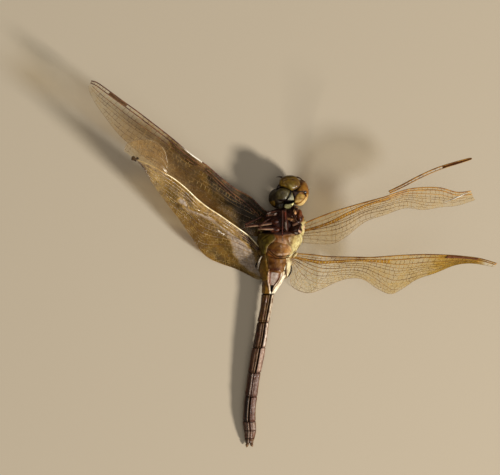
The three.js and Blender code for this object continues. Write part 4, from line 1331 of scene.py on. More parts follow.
# ---- wings ----
# Four long wings of clear amber skin, thinner than paper, stretched on a net of closed tubes. The
# main tubes run from root to tip in pleats, and fine ones close the cells between them.
# Each rib is x, y and z of its point on the leading edge, then of the one on the trailing edge.
WING_RIBS = {
    "forewing_left": [
        (3.5, 2.4, 3.2, 3.5, -1.8, 3.0),
        (6.5, 3.8, 4.5, 6.6, -1.5, 3.5),
        (13.7, 6.7, 8.0, 14.0, -1.8, 5.0),
        (18.3, 8.2, 11.0, 17.9, -0.1, 6.0),
        (22.8, 9.5, 14.0, 23.5, 4.3, 7.0),
        (27.3, 10.7, 17.0, 28.9, 6.3, 9.5),
        (33.0, 12.6, 18.0, 33.9, 8.0, 11.0),
        (37.4, 13.1, 19.0, 38.6, 7.5, 12.5),
        (41.6, 12.9, 20.0, 43.1, 8.2, 14.0),
        (45.8, 11.8, 20.0, 46.9, 8.5, 15.5),
        (49.3, 12.1, 20.5, 50.9, 9.9, 18.5),
    ],
    "hindwing_left": [
        (2.4, -5.2, 3.0, 1.0, -7.5, 2.5),
        (4.8, -4.6, 4.5, 3.0, -9.7, 2.2),
        (8.9, -4.8, 7.0, 3.6, -13.8, 1.2),
        (12.3, -5.2, 9.0, 7.9, -15.8, 0.2),
        (15.6, -5.3, 11.5, 11.8, -14.7, 1.2),
        (18.6, -5.3, 13.5, 15.3, -12.8, 3.5),
        (21.3, -5.3, 15.5, 18.9, -11.4, 6.5),
        (23.7, -5.3, 17.0, 22.7, -11.5, 9.0),
        (27.4, -5.0, 18.8, 26.7, -14.1, 9.5),
        (30.9, -4.7, 20.2, 30.1, -15.4, 10.5),
        (34.3, -4.5, 21.5, 33.1, -13.8, 12.0),
        (37.6, -4.4, 23.0, 36.3, -11.2, 15.0),
        (42.0, -4.5, 25.0, 40.6, -9.3, 18.5),
        (45.9, -4.8, 26.7, 44.6, -7.2, 22.5),
        (49.5, -5.3, 28.3, 48.1, -6.6, 26.0),
        (53.3, -6.5, 30.0, 53.0, -7.4, 29.2),
    ],
    "forewing_right": [
        (-2.1, 6.6, 3.2, -3.2, 0.1, 2.5),
        (-4.4, 7.7, 4.0, -6.6, 0.4, 3.0),
        (-8.3, 11.3, 5.5, -10.3, 1.3, 3.5),
        (-12.6, 13.6, 7.0, -14.5, 4.3, 4.2),
        (-16.3, 16.4, 8.5, -18.6, 7.7, 5.0),
        (-19.9, 19.5, 10.0, -23.0, 11.0, 6.0),
        (-24.6, 22.8, 11.5, -28.2, 14.5, 7.5),
        (-29.3, 26.7, 13.0, -33.5, 19.1, 9.0),
        (-33.7, 30.1, 14.5, -39.0, 23.5, 11.0),
        (-38.1, 33.4, 16.0, -43.7, 27.8, 12.5),
        (-42.1, 36.2, 17.5, -47.1, 32.3, 14.5),
        (-45.7, 38.8, 18.5, -49.5, 35.8, 16.0),
        (-48.4, 40.6, 19.3, -50.6, 38.4, 17.8),
        (-49.9, 41.0, 19.5, -50.7, 39.8, 18.8),
    ],
    "hindwing_right": [
        (-3.2, -4.1, 3.0, -1.5, -8.0, 2.5),
        (-4.9, -3.5, 4.0, -4.1, -10.9, 1.8),
        (-8.3, 0.1, 5.5, -6.0, -11.9, 1.0),
        (-11.6, 2.6, 7.5, -9.2, -10.4, 0.4),
        (-14.7, 4.8, 9.5, -12.6, -8.8, 0.2),
        (-17.2, 6.5, 11.7, -16.3, -7.5, 1.0),
        (-19.7, 8.1, 14.0, -19.5, -6.0, 3.2),
        (-22.2, 10.1, 16.5, -21.9, -3.8, 6.0),
        (-25.1, 12.9, 19.0, -24.8, 0.7, 9.0),
        (-27.8, 15.1, 21.3, -27.5, 5.0, 12.5),
        (-30.7, 16.8, 23.4, -30.1, 8.7, 16.0),
        (-33.8, 18.4, 25.0, -32.9, 12.9, 20.5),
        (-36.3, 19.4, 26.0, -35.7, 17.8, 24.2),
        (-37.0, 19.7, 26.2, -36.7, 19.1, 25.6),
    ],
    # The outer end of the right hindwing, folded forward over its own leading edge.
    "hindwing_right_tip": [
        (-29.3, 19.0, 25.2, -29.6, 15.9, 23.6),
        (-30.1, 22.2, 26.6, -31.3, 16.9, 24.7),
        (-32.5, 24.2, 27.7, -33.5, 18.0, 25.8),
        (-36.0, 24.7, 28.2, -35.5, 18.8, 26.7),
        (-39.1, 23.6, 28.1, -36.7, 19.4, 27.0),
        (-40.1, 21.8, 27.8, -37.5, 19.8, 27.2),
    ],
}
PLEATS = 5
PLEAT_HEIGHT = 0.3
WAVINESS = 0.10
SKIN_THICKNESS = 0.04
CELL_LENGTH = 1.3
CELL_HEIGHT = 1.1
CORNER_PULL = 0.16                     # of a cell's height, at the corners of its hexagon
WALL_STRAY = 0.14                      # of a cell's length, as is the next
WALL_SLANT = 0.08
NARROWEST_LANE = 0.25                  # that still has walls across it
NARROWEST_END = 0.35                   # of a run of cells, that has a wall of its own
COUNT_SLACK = 0.7                      # of a cell, before a column has one more or one less
FINE_RADIUS = 0.062
# Main tubes of each kind of wing: [radius, (place along, place across), ...]. Half way along is the
# node, where the front edge bends.
FORE_TUBES = {
    "edge": [0.20, (0, 0), (1, 0)],
    "under_edge": [0.09, (0, 0.09), (0.12, 0.065), (0.3, 0.05), (0.45, 0.03), (0.5, 0.0)],
    "main": [0.18, (0, 0.15), (0.12, 0.12), (0.3, 0.1), (0.5, 0.1), (0.78, 0.12), (0.92, 0.22), (1, 0.35)],
    "branch_1": [
        0.13, (0, 0.23), (0.12, 0.2), (0.3, 0.18), (0.5, 0.18), (0.65, 0.24), (0.82, 0.36), (0.95, 0.5),
    ],
    "branch_2": [0.08, (0.44, 0.18), (0.56, 0.28), (0.7, 0.40), (0.85, 0.55), (0.96, 0.74)],
    "branch_3": [0.08, (0.30, 0.18), (0.42, 0.29), (0.56, 0.38), (0.72, 0.50), (0.9, 0.74)],
    "branch_4": [0.08, (0.20, 0.19), (0.34, 0.33), (0.5, 0.45), (0.66, 0.58), (0.84, 0.82)],
    "middle": [0.10, (0.10, 0.205), (0.2, 0.30), (0.34, 0.42), (0.5, 0.54), (0.66, 0.70), (0.78, 0.88)],
    "rear_1": [0.10, (0, 0.33), (0.12, 0.38), (0.24, 0.50), (0.4, 0.62), (0.55, 0.78), (0.66, 0.93)],
    "rear_2": [0.08, (0, 0.44), (0.10, 0.50), (0.2, 0.64), (0.32, 0.77), (0.45, 0.93)],
    "rear_3": [0.07, (0, 0.58), (0.08, 0.66), (0.16, 0.80), (0.26, 0.95)],
    "hem": [0.045, (0, 1), (1, 1)],
}
HIND_TUBES = {
    "edge": [0.20, (0, 0), (1, 0)],
    "under_edge": [0.09, (0, 0.10), (0.12, 0.06), (0.3, 0.045), (0.45, 0.03), (0.5, 0.0)],
    "main": [0.18, (0, 0.18), (0.12, 0.11), (0.3, 0.09), (0.5, 0.1), (0.78, 0.12), (0.92, 0.22), (1, 0.35)],
    "branch_1": [
        0.13, (0, 0.25), (0.12, 0.165), (0.3, 0.15), (0.5, 0.175), (0.65, 0.24), (0.82, 0.36), (0.95, 0.5),
    ],
    "branch_2": [0.08, (0.44, 0.165), (0.56, 0.27), (0.7, 0.39), (0.85, 0.54), (0.96, 0.74)],
    "branch_3": [0.08, (0.28, 0.152), (0.42, 0.27), (0.56, 0.36), (0.72, 0.48), (0.9, 0.74)],
    "branch_4": [0.08, (0.17, 0.158), (0.34, 0.31), (0.5, 0.42), (0.66, 0.56), (0.84, 0.82)],
    "middle": [0.11, (0.08, 0.19), (0.18, 0.25), (0.34, 0.38), (0.5, 0.52), (0.66, 0.68), (0.78, 0.88)],
    "rear_1": [0.11, (0, 0.33), (0.12, 0.31), (0.26, 0.42), (0.4, 0.56), (0.55, 0.74), (0.66, 0.93)],
    "rear_2": [0.09, (0, 0.42), (0.10, 0.38), (0.2, 0.47), (0.32, 0.62), (0.46, 0.86), (0.52, 0.96)],
    "rear_3": [0.08, (0, 0.54), (0.08, 0.46), (0.16, 0.57), (0.26, 0.76), (0.36, 0.96)],
    "rear_4": [0.07, (0, 0.70), (0.07, 0.58), (0.13, 0.71), (0.2, 0.94)],
    "hem": [0.045, (0, 1), (1, 1)],
}
TIP_TUBES = {
    "edge": [0.09, (0, 0), (1, 0)],
    "row_1": [0.06, (0, 0.2), (0.5, 0.22), (1, 0.3)],
    "row_2": [0.06, (0, 0.45), (0.5, 0.42), (1, 0.5)],
    "row_3": [0.06, (0, 0.7), (0.5, 0.66), (1, 0.72)],
    "hem": [0.12, (0, 1), (1, 1)],
}
FRONT_TUBES = ("edge", "under_edge", "main", "branch_1")
# How each wing differs: its tubes, and which of them are thick and bright; how far along it its node
# is; its crumples, each [rise, place across, width, place along, width]; and how much wider than a
# whole wing's its front strip is at the root.
WING_KINDS = {
    "forewing_left": {
        "tubes": FORE_TUBES, "front": FRONT_TUBES,
        "node": 0.50, "crumples": [(-1.2, 0.6, 0.3, 0.55, 0.5)], "front_strip": 0.24,
    },
    "hindwing_left": {
        "tubes": HIND_TUBES, "front": FRONT_TUBES,
        "node": 0.47, "crumples": [(-0.96, 0.6, 0.3, 0.55, 0.5)], "front_strip": 0.05,
    },
    "forewing_right": {
        "tubes": FORE_TUBES, "front": FRONT_TUBES,
        "node": 0.385, "crumples": [(-0.72, 0.6, 0.3, 0.55, 0.5)], "front_strip": 0.16,
    },
    "hindwing_right": {
        "tubes": HIND_TUBES, "front": ("edge",),
        "node": 0.62, "crumples": [(1.3, 0.42, 0.2, 0.4, 0.4)], "front_strip": 0.0,
    },
    "hindwing_right_tip": {
        "tubes": TIP_TUBES, "front": ("edge",),
        "node": 0.5, "crumples": [], "front_strip": 0.0,
    },
}
# How much of a whole wing lies before the fold of its tip; the others reach all the way.
REACH = {"hindwing_right": 0.85}
WING_TUBES = {}                        # where the main tubes of each finished wing run
# The right hind wing's skin stands up in a crease where it is half folded, behind its front edge.
CREASES = {
    "hindwing_right": [
        (-27.0, 8.2), (-23.9, 7.1), (-21.1, 6.0), (-18.6, 5.0), (-16.2, 2.9), (-14.1, 1.4), (-11.8, -0.4),
        (-9.4, -2.0), (-7.8, -4.2),
    ],
}
CREASE_HEIGHT = 0.7
LOWEST_SKIN = 0.12                     # above the table
# Patches of the wings' skins: [outline, softness, (extra stain, haze, tone)], where haze hides
# what lies below, in dark brown at tone 0, the skin's own colour at 0.5 and chalky grey at 1.
SKIN_PATCHES = {
    "hindwing_right": [
        [[(-27.5, 10.9), (-24.7, 12.0), (-17.9, 6.6), (-12.5, 2.7), (-8.6, 0.1), (-10.2, -1.5),
          (-14.1, 1.4), (-18.7, 5.3), (-23.0, 7.6), (-25.8, 9.2)], 1.0, (0.6, 0.36, 0.50)],
        # Painted shadow: a dark brown haze near the rear edge.
        [[(-20.6, -3.5), (-17.9, -3.0), (-14.5, -6.8), (-11.8, -8.5), (-7.7, -10.6), (-11.1, -9.5),
          (-16.1, -7.6)], 1.6, (0.5, 0.30, 0.15)],
        [[(-36.4, 18.8), (-33.3, 17.4), (-30.4, 15.4), (-29.7, 12.5), (-32.2, 13.5), (-35.1, 16.8)], 1.5,
         (-0.2, 0.40, 0.5)],
        [[(-30.5, 14.5), (-26.7, 13.6), (-22.8, 10.6), (-23.4, 5.6), (-27.6, 6.8), (-29.8, 9.5)], 1.4,
         (0.8, 0.45, 0.22)],
        # A painted highlight: a small chalky grey glint behind the front edge.
        [[(-27.4, 9.7), (-26.6, 10.3), (-25.4, 9.6), (-24.9, 8.2), (-26.2, 8.6)], 0.6, (0.2, 0.62, 0.95)],
        # Chalky grey along the crease, in part a painted highlight.
        [[(-27.0, 8.5), (-23.9, 7.3), (-21.1, 6.2), (-18.6, 5.2), (-16.2, 3.1), (-14.1, 1.6), (-11.8, -0.2),
          (-9.4, -1.8), (-9.8, -2.4), (-12.2, -0.9), (-14.5, 1.0), (-16.6, 2.5), (-18.9, 4.5), (-21.3, 5.6),
          (-24.2, 6.7)], 0.5, (0.1, 0.45, 0.85)],
        [[(-11.3, 2.1), (-8.4, 0.2), (-6.0, -2.8), (-4.3, -5.1), (-7.7, -3.4), (-10.3, -0.8)], 0.9,
         (1.0, 0.55, 0.0)],
        [[(-14.1, 1.2), (-9.4, -2.0), (-7.4, -3.9), (-7.0, -6.0), (-6.0, -8.4), (-4.9, -11.1), (-8.1, -9.8),
          (-10.9, -7.6), (-12.7, -5.0), (-13.4, -1.8)], 0.8, (0.5, 0.60, 0.86)],
    ],
    "hindwing_left": [
        [[(41.0, -3.5), (49.5, -4.5), (49.0, -7.5), (46.0, -9.5), (42.5, -11.0)], 4.5, (0.95, 0.14, 0.3)],
        [[(50.5, -4.5), (54.5, -5.0), (54.5, -9.0), (50.5, -8.5)], 1.0, (-0.4, 0.0, 0.5)],
    ],
    "forewing_right": [
        # Painted shadow: a dark brown haze over the root, where the body's shadow lies beneath.
        [[(-20.3, 19.0), (-16.2, 16.3), (-10.9, 12.7), (-3.0, 9.0), (-3.0, 0.0), (-11.0, 4.6), (-15.1, 9.4),
          (-19.4, 14.4)], 3.4, (0.9, 0.68, 0.02)],
        # Painted shadow: the head's shadow, farther out behind the front edge.
        [[(-30.5, 27.0), (-24.0, 22.2), (-21.5, 19.6), (-24.5, 19.6), (-29.3, 24.0)], 1.0,
         (0.4, 0.35, 0.1)],
    ],
}
CHALKY = (0.40, 0.33, 0.28)


def wing_point(wing, s, t):
    """A point of the wing's middle surface: s from root to tip, t from front edge to rear edge."""
    ribs = WING_RIBS[wing]
    rib = along_rows(ribs, clamp(s) * (len(ribs) - 1))
    point = Vector(rib[:3]).lerp(Vector(rib[3:]), t)
    point.z += PLEAT_HEIGHT * (1 - t) * math.sin(PLEATS * math.pi * t) * (1 - s)
    for rise, across, chord_width, along, span_width in WING_KINDS[wing]["crumples"]:
        point.z += rise * hump(t, across, chord_width) * hump(s, along, span_width)
    point.z += WAVINESS * lumps((point.x, point.y, 0), 1.6, 3.0) * ramp(t, 0.0, 0.3)
    if wing in CREASES:
        width = 0.5 + 0.25 * lumps(point, 2.5, 6.0)
        point.z += CREASE_HEIGHT * near(point.x, point.y, CREASES[wing], width)
    point.z = max(LOWEST_SKIN, point.z)
    return point


def along_wing(wing, part):
    """Where part of a whole wing falls on this one, with its node and reach allowed for."""
    node = WING_KINDS[wing]["node"]
    if part < 0.5:
        return node * part / 0.5
    return node + (1 - node) * (part - 0.5) / (REACH.get(wing, 1.0) - 0.5)


def opened(wing, s, t):
    """Moves a tube back where this wing's front strip, between its edge and its main tube, is wide."""
    node = WING_KINDS[wing]["node"]
    extra = WING_KINDS[wing]["front_strip"] * (1 - ramp(s, 0.1 * node, node))
    return t + extra * min(t / 0.12, (1 - t) / 0.88)


def tube_height(stations, s):
    """How far across the wing a main tube lies at s."""
    return clamp(smooth_rows(stations, s)[0])


def steps(start, stop, count):
    """Even steps from start to stop, with both ends."""
    return [start + (stop - start) * i / count for i in range(count + 1)]


def wing_lanes(tubes):
    """The lanes between neighbouring main tubes: [upper, lower, start, stop]."""
    breaks = sorted({station[0] for stations in tubes.values() for station in (stations[0], stations[-1])})
    lanes = []
    for start, stop in zip(breaks, breaks[1:]):
        middle = 0.5 * (start + stop)
        here = [
            name for name, line in tubes.items()
            if line[0][0] <= start + 1e-6 and line[-1][0] >= stop - 1e-6
        ]
        here.sort(key=lambda name: tube_height(tubes[name], middle))
        for upper, lower in zip(here, here[1:]):
            for lane in lanes:
                if lane[:2] == [upper, lower] and abs(lane[3] - start) < 1e-6:
                    lane[3] = stop
                    break
            else:
                lanes.append([upper, lower, start, stop])
    return lanes


def cell_walls(wing, tubes, lane, chance):
    """Fine tubes of one lane: rows of cells laid like bricks, whose corners pull into hexagons."""
    upper, lower, start, stop = lane

    def height(s, share):
        top, bottom = tube_height(tubes[upper], s), tube_height(tubes[lower], s)
        return top + (bottom - top) * share

    def width(s):
        return (wing_point(wing, s, height(s, 1)) - wing_point(wing, s, height(s, 0))).length

    middle_line = [wing_point(wing, s, height(s, 0.5)) for s in steps(start, stop, 8)]
    length = sum((b - a).length for a, b in zip(middle_line, middle_line[1:]))
    columns = max(1, round(length / CELL_LENGTH))
    counts = []                        # cells across the lane in each column
    for column in range(columns):
        exact = width(start + (stop - start) * (column + 0.5) / columns) / CELL_HEIGHT
        if lower in ("under_edge", "main", "branch_1"):
            exact = 1
        if not counts or abs(exact - counts[-1]) > COUNT_SLACK:
            counts.append(max(1, round(exact)))
        else:
            counts.append(counts[-1])
    walls = []
    column = 0
    while column < columns:
        last = column
        while last + 1 < columns and counts[last + 1] == counts[column]:
            last += 1
        rows = counts[column]
        number = last + 1 - column
        first_s = start + (stop - start) * column / columns
        last_s = start + (stop - start) * (last + 1) / columns
        step = (last_s - first_s) / number
        feet = []
        for row in range(rows):
            shift = 0.5 if row % 2 else 0.0
            places = [first_s + (i + shift) * step for i in range(0 if shift else 1, number)]
            feet.append([place + chance.uniform(-WALL_STRAY, WALL_STRAY) * step for place in places])
        for row in range(rows):
            for foot in feet[row]:
                if width(foot) > NARROWEST_LANE:
                    slant = chance.uniform(-WALL_SLANT, WALL_SLANT) * step if rows == 1 else 0.0
                    high = row / rows + (CORNER_PULL / rows if row else 0)
                    deep = (row + 1) / rows - (CORNER_PULL / rows if row < rows - 1 else 0)
                    ends = ((foot - slant, high), (foot + slant, deep))
                    walls.append([(s, height(s, share)) for s, share in ends])
        for row in range(1, rows):
            joined = [(foot, -CORNER_PULL) for foot in feet[row - 1]]
            joined += [(foot, CORNER_PULL) for foot in feet[row]]
            corners = [(foot, (row + pull) / rows) for foot, pull in sorted(joined)]
            corners = [(first_s, row / rows), *corners, (last_s, row / rows)]
            walls.append([(s, height(s, share)) for s, share in corners])
        for end in {first_s, last_s}:
            if width(end) > NARROWEST_END and start + 1e-6 < end < stop - 1e-6:
                walls.append([(end, height(end, share / 4)) for share in range(5)])
        column = last + 1
    return walls


def tube_net(runs, sides):
    """Closed tubes along many paths at once: each run is [points, start radius, end radius]."""
    curve = bpy.data.curves.new("tube_net", "CURVE")
    curve.dimensions = "3D"
    curve.bevel_depth = 1.0
    curve.bevel_resolution = sides
    curve.use_fill_caps = True
    for points, start_radius, end_radius in runs:
        spline = curve.splines.new("POLY")
        spline.points.add(len(points) - 1)
        for i, point in enumerate(points):
            spline.points[i].co = (*point, 1.0)
            spline.points[i].radius = start_radius + (end_radius - start_radius) * i / (len(points) - 1)
    holder = bpy.data.objects.new("tube_net", curve)
    stage_scene.collection.objects.link(holder)
    bpy.context.view_layer.update()
    data = bpy.data.meshes.new_from_object(holder.evaluated_get(bpy.context.evaluated_depsgraph_get()))
    bm = bmesh.new()
    bm.from_mesh(data)
    bpy.data.objects.remove(holder)
    bpy.data.curves.remove(curve)
    bpy.data.meshes.remove(data)
    return bm


def wing_skin(wing, spans=150, chords=40):
    """The wing's clear skin as a thin closed slab, with its s and t kept as a UV map."""
    bm = bmesh.new()
    layer = bm.loops.layers.uv.new("span_chord")
    bmesh.ops.create_grid(bm, x_segments=spans, y_segments=chords, size=0.5, calc_uvs=False)
    for face in bm.faces:
        for loop in face.loops:
            loop[layer].uv = (loop.vert.co.x + 0.5, loop.vert.co.y + 0.5)
    for vert in bm.verts:
        vert.co = wing_point(wing, vert.co.x + 0.5, vert.co.y + 0.5)
    bmesh.ops.recalc_face_normals(bm, faces=bm.faces)
    bmesh.ops.solidify(bm, geom=bm.faces[:], thickness=SKIN_THICKNESS)
    return bm


def patch_paint(wing):
    """Paints the extra stain, haze and tone of a wing's skin."""
    def paint(place):
        values = (0.0, 0.0, 0.5)
        for outline, softness, patch in SKIN_PATCHES.get(wing, []):
            ragged = within(place.x, place.y, outline) + 0.5 * softness * lumps(place, 1.5, 2.0)
            values = blend(values, patch, ramp(ragged, -softness, 0.6 * softness))
        return values
    return paint


def skin_material(name, clear, amber, film, shares):
    """Clear skin over amber-stained skin, mixed by the shares at root, middle and tip, with some shine."""
    material, bare, place = start_material(name)
    painted = painted_colour(bare)
    extra_stain, haze, tone = (
        bare.node("ShaderNodeSeparateColor", {}, {0: painted}, part) for part in ("Red", "Green", "Blue")
    )
    chart = bare.node("ShaderNodeUVMap", {"uv_map": "span_chord"}, {})
    along = bare.node("ShaderNodeSeparateXYZ", {}, {0: chart}, "X")
    cloud = clouds(place, 0.35, 5.0)
    crinkle = clouds(place, 1.8, 4.0)
    cells = pits(place, 0.9)
    root, middle, tip = shares
    stain = along.between(0.0, 0.5) * (middle - root) + root + along.between(0.5, 0.95) * (tip - middle)
    stain = (stain + extra_stain) * (cloud.between(0.30, 0.70) * 0.8 + 0.6)
    own = cloud.between(0.35, 0.65).tint(film, tuple(1.3 * c for c in film))
    dusky = tone.between(0.0, 0.5).tint(tuple(0.09 * c for c in film), own)
    shine = bare.node("ShaderNodeBsdfPrincipled", {}, {
        "Base Color": tone.between(0.5, 1.0).tint(dusky, CHALKY),
        "Roughness": 0.55 - tone.between(0.0, 0.5) * 0.35 + crinkle * 0.2,
        "Specular IOR Level": 0.3,
        "Normal": bumped(cells * 0.8 + crinkle * 0.5, 0.6, 0.2),
        "Coat Weight": tone.between(0.1, 0.6) * 0.6,
        "Coat Roughness": 0.1,
    })
    glass = bare.node("ShaderNodeBsdfTransparent", {}, {"Color": (*clear, 1)})
    stained = bare.node("ShaderNodeBsdfTransparent", {}, {"Color": (*amber, 1)})
    seen_through = bare.node("ShaderNodeMixShader", {}, {0: stain, 1: glass, 2: stained})
    cover = stain * 0.10 + cells * 0.03 + 0.015 + haze * (crinkle.between(0.2, 0.8) * 0.8 + 0.5)
    return finish_material(material, "ShaderNodeMixShader", {0: cover, 1: seen_through, 2: shine})


def tube_material(name, dark, light, roughness=0.34):
    """Brown hollow tube, ringed and mottled along its length."""
    material, _, place = start_material(name)
    speck = clouds(place, 5.0, 2.0)
    colour = clouds(place, 0.5, 4.0).between(0.38, 0.62).tint(dark, light)
    return finish_material(material, "ShaderNodeBsdfPrincipled", {
        "Base Color": (speck.between(0.5, 0.7) * 0.3).tint(colour, tuple(0.4 * c for c in dark)),
        "Roughness": roughness + speck * 0.1,
        "Normal": bumped(speck, 0.4, 0.02),
        "Coat Weight": 0.3,
        "Coat Roughness": 0.2,
    })


# clear and amber: what plain and stained skin let through; film: the colour of its dry shine;
# shares: how much is stained at root, middle and tip; then [dark, light] of each group of tubes
WING_TONES = {
    "forewing_left": {
        "clear": (1.0, 0.992, 0.965), "amber": (0.76, 0.55, 0.18), "film": (0.60, 0.44, 0.16),
        "shares": (0.0, 0.12, 0.14),
        "front": [(0.27, 0.105, 0.016), (0.50, 0.25, 0.045)],
        "inner": [(0.17, 0.075, 0.022), (0.42, 0.25, 0.08)],
        "fine": [(0.23, 0.115, 0.018), (0.56, 0.36, 0.085)],
    },
    "hindwing_left": {
        "clear": (1.0, 0.995, 0.97), "amber": (0.74, 0.55, 0.15), "film": (0.60, 0.44, 0.12),
        "shares": (-0.20, 0.20, 0.38),
        "front": [(0.25, 0.095, 0.014), (0.50, 0.25, 0.040)],
        "inner": [(0.16, 0.065, 0.016), (0.42, 0.22, 0.05)],
        "fine": [(0.22, 0.105, 0.012), (0.58, 0.36, 0.065)],
    },
    "forewing_right": {
        "clear": (1.0, 0.99, 0.955), "amber": (0.54, 0.35, 0.11), "film": (0.26, 0.155, 0.04),
        # Its full stain at the root is in part painted shadow, from the body's shadow seen through it.
        "shares": (1.0, 0.30, -0.2),
        "front": [(0.050, 0.011, 0.003), (0.17, 0.060, 0.012)],
        "inner": [(0.055, 0.020, 0.005), (0.22, 0.12, 0.03)],
        "fine": [(0.10, 0.050, 0.014), (0.44, 0.30, 0.11)],
    },
    "hindwing_right": {
        "clear": (1.0, 0.985, 0.93), "amber": (0.58, 0.42, 0.13), "film": (0.34, 0.21, 0.05),
        "shares": (0.08, 0.72, -0.1),
        # The front edge's ivory is in part a painted highlight over its own yellow.
        "front": [(0.62, 0.46, 0.22), (0.85, 0.74, 0.48)],
        "inner": [(0.060, 0.022, 0.006), (0.26, 0.14, 0.035)],
        "fine": [(0.075, 0.034, 0.008), (0.36, 0.23, 0.055)],
    },
    "hindwing_right_tip": {
        "clear": (1.0, 0.98, 0.93), "amber": (0.88, 0.74, 0.48), "film": (0.46, 0.34, 0.18),
        "shares": (0.5, 0.3, 0.1),
        "front": [(0.16, 0.09, 0.035), (0.30, 0.21, 0.10)],
        "inner": [(0.14, 0.08, 0.03), (0.28, 0.19, 0.09)],
        "fine": [(0.16, 0.095, 0.035), (0.32, 0.22, 0.10)],
    },
}
for wing, tone in WING_TONES.items():
    kind = WING_KINDS[wing]
    chance = random.Random(wing)
    skin_finish = skin_material(wing + "_skin", tone["clear"], tone["amber"], tone["film"], tone["shares"])
    finish_piece(wing + "_skin", wing_skin(wing), skin_finish, [wing], patch_paint(wing))
    tubes = {}
    radii = {}
    for tube_name, (tube_radius, *stations) in kind["tubes"].items():
        placed = [(along_wing(wing, part), t) for part, t in stations]
        inside = [station for station in placed if station[0] <= 1.0]
        if len(inside) < len(placed) and inside:
            inside.append((1.0, tube_height(placed, 1.0)))
        if len(inside) > 1:
            tubes[tube_name] = [(s, opened(wing, s, t)) for s, t in inside]
            radii[tube_name] = tube_radius
    groups = {"front": [], "inner": [], "fine": []}
    for tube_name, stations in tubes.items():
        first, last = stations[0][0], stations[-1][0]
        line = steps(first, last, max(8, round(90 * (last - first))))
        points = [wing_point(wing, s, tube_height(stations, s)) for s in line]
        group = groups["front" if tube_name in kind["front"] else "inner"]
        taper = 0.75 if tube_name in ("edge", "main") else 0.55
        group.append([points, radii[tube_name], radii[tube_name] * taper])
    for lane in wing_lanes(tubes):
        for wall in cell_walls(wing, tubes, lane, chance):
            thin = FINE_RADIUS * (1.15 - 0.5 * wall[0][1]) * (0.7 + 0.3 * hump(wall[0][0], 0.55, 0.3))
            groups["fine"].append([[wing_point(wing, s, t) for s, t in wall], thin, thin])
    for group_name, runs in groups.items():
        tube_finish = tube_material(f"{wing}_{group_name}", *tone[group_name])
        rounding = 0 if group_name == "fine" else 1
        finish_piece(f"{wing}_{group_name}_tubes", tube_net(runs, rounding), tube_finish)
    WING_TUBES[wing] = tubes

# ---- golden fan and highlight tubes ----
# Thick bright main tubes of the right wings: golden in a fan at the hind wing's root, and along the
# middle of the fore wing's front edge a nearly white tube that is a painted highlight.
# [wing, tube, start, stop, radius, dark, light]
FAN_AND_HIGHLIGHT_TUBES = {
    "fan_front": ["hindwing_right", "main", 0.0, 0.13, 0.20, (0.30, 0.17, 0.03), (0.60, 0.42, 0.11)],
    "fan_second": ["hindwing_right", "branch_1", 0.0, 0.12, 0.17, (0.30, 0.17, 0.03), (0.60, 0.42, 0.11)],
    "fan_third": ["hindwing_right", "rear_1", 0.0, 0.11, 0.16, (0.28, 0.15, 0.02), (0.60, 0.42, 0.10)],
    "fan_fourth": ["hindwing_right", "rear_2", 0.0, 0.10, 0.15, (0.28, 0.15, 0.02), (0.60, 0.42, 0.10)],
    "fan_rear": ["hindwing_right", "rear_3", 0.0, 0.08, 0.13, (0.24, 0.12, 0.02), (0.50, 0.34, 0.08)],
    # A painted highlight: a nearly white stretch of the fore wing's front edge.
    "edge_highlight": ["forewing_right", "edge", 0.41, 0.55, 0.22, (0.50, 0.44, 0.34), (0.92, 0.86, 0.74)],
}
for bright_tube_name, (wing, tube_name, start, stop, radius, dark, light) in FAN_AND_HIGHLIGHT_TUBES.items():
    stations = WING_TUBES[wing][tube_name]
    points = [wing_point(wing, s, tube_height(stations, s)) for s in steps(start, stop, 40)]
    bright_tube_finish = tube_material(bright_tube_name, dark, light, 0.28)
    bright_tube = tube_net([[points, radius, 0.55 * radius]], 2)
    finish_piece(bright_tube_name + "_tube", bright_tube, bright_tube_finish)

# ---- golden cells ----
# Between the main tube and its first branch the small cells are thicker and deep golden, like a
# string of beads that runs out along the front of each left wing.
# [start, stop, number of cells, colour]
GOLDEN_CELLS = {
    "forewing_left": [0.03, 0.52, 30, (0.66, 0.42, 0.07)],
    "hindwing_left": [0.03, 0.56, 34, (0.66, 0.42, 0.06)],
}
CELL_FILM = 0.10


def golden_strip(wing, start, stop, number):
    """Thin plates over the cells between the main tube and its first branch, a little apart."""
    bm = bmesh.new()
    upper, lower = WING_TUBES[wing]["main"], WING_TUBES[wing]["branch_1"]
    step = (stop - start) / number
    for i in range(number):
        made = bmesh.ops.create_grid(bm, x_segments=3, y_segments=2, size=0.5)
        for vert in made["verts"]:
            s = start + (i + 0.5 + 0.8 * vert.co.x) * step
            share = 0.5 + 0.75 * vert.co.y
            high, low = tube_height(upper, s), tube_height(lower, s)
            vert.co = wing_point(wing, s, high + (low - high) * share) + Vector((0, 0, 0.5 * CELL_FILM))
    bmesh.ops.recalc_face_normals(bm, faces=bm.faces)
    bmesh.ops.solidify(bm, geom=bm.faces[:], thickness=CELL_FILM)
    return bm


def golden_material(name, colour):
    """Thick amber film that lets some light through."""
    material, bare, place = start_material(name)
    cloud = clouds(place, 1.1, 3.0)
    film = bare.node("ShaderNodeBsdfPrincipled", {}, {
        "Base Color": cloud.between(0.35, 0.65).tint(tuple(0.7 * c for c in colour), colour),
        "Roughness": 0.25 + cloud * 0.2,
        "Coat Weight": 0.4,
        "Coat Roughness": 0.12,
    })
    glass = bare.node("ShaderNodeBsdfTransparent", {}, {"Color": (0.93, 0.72, 0.30, 1)})
    cover = cloud.between(0.2, 0.8) * 0.4 + 0.15
    return finish_material(material, "ShaderNodeMixShader", {0: cover, 1: glass, 2: film})


for wing, (start, stop, number, colour) in GOLDEN_CELLS.items():
    golden = golden_material(wing + "_golden", colour)
    finish_piece(wing + "_golden_cells", golden_strip(wing, start, stop, number), golden)

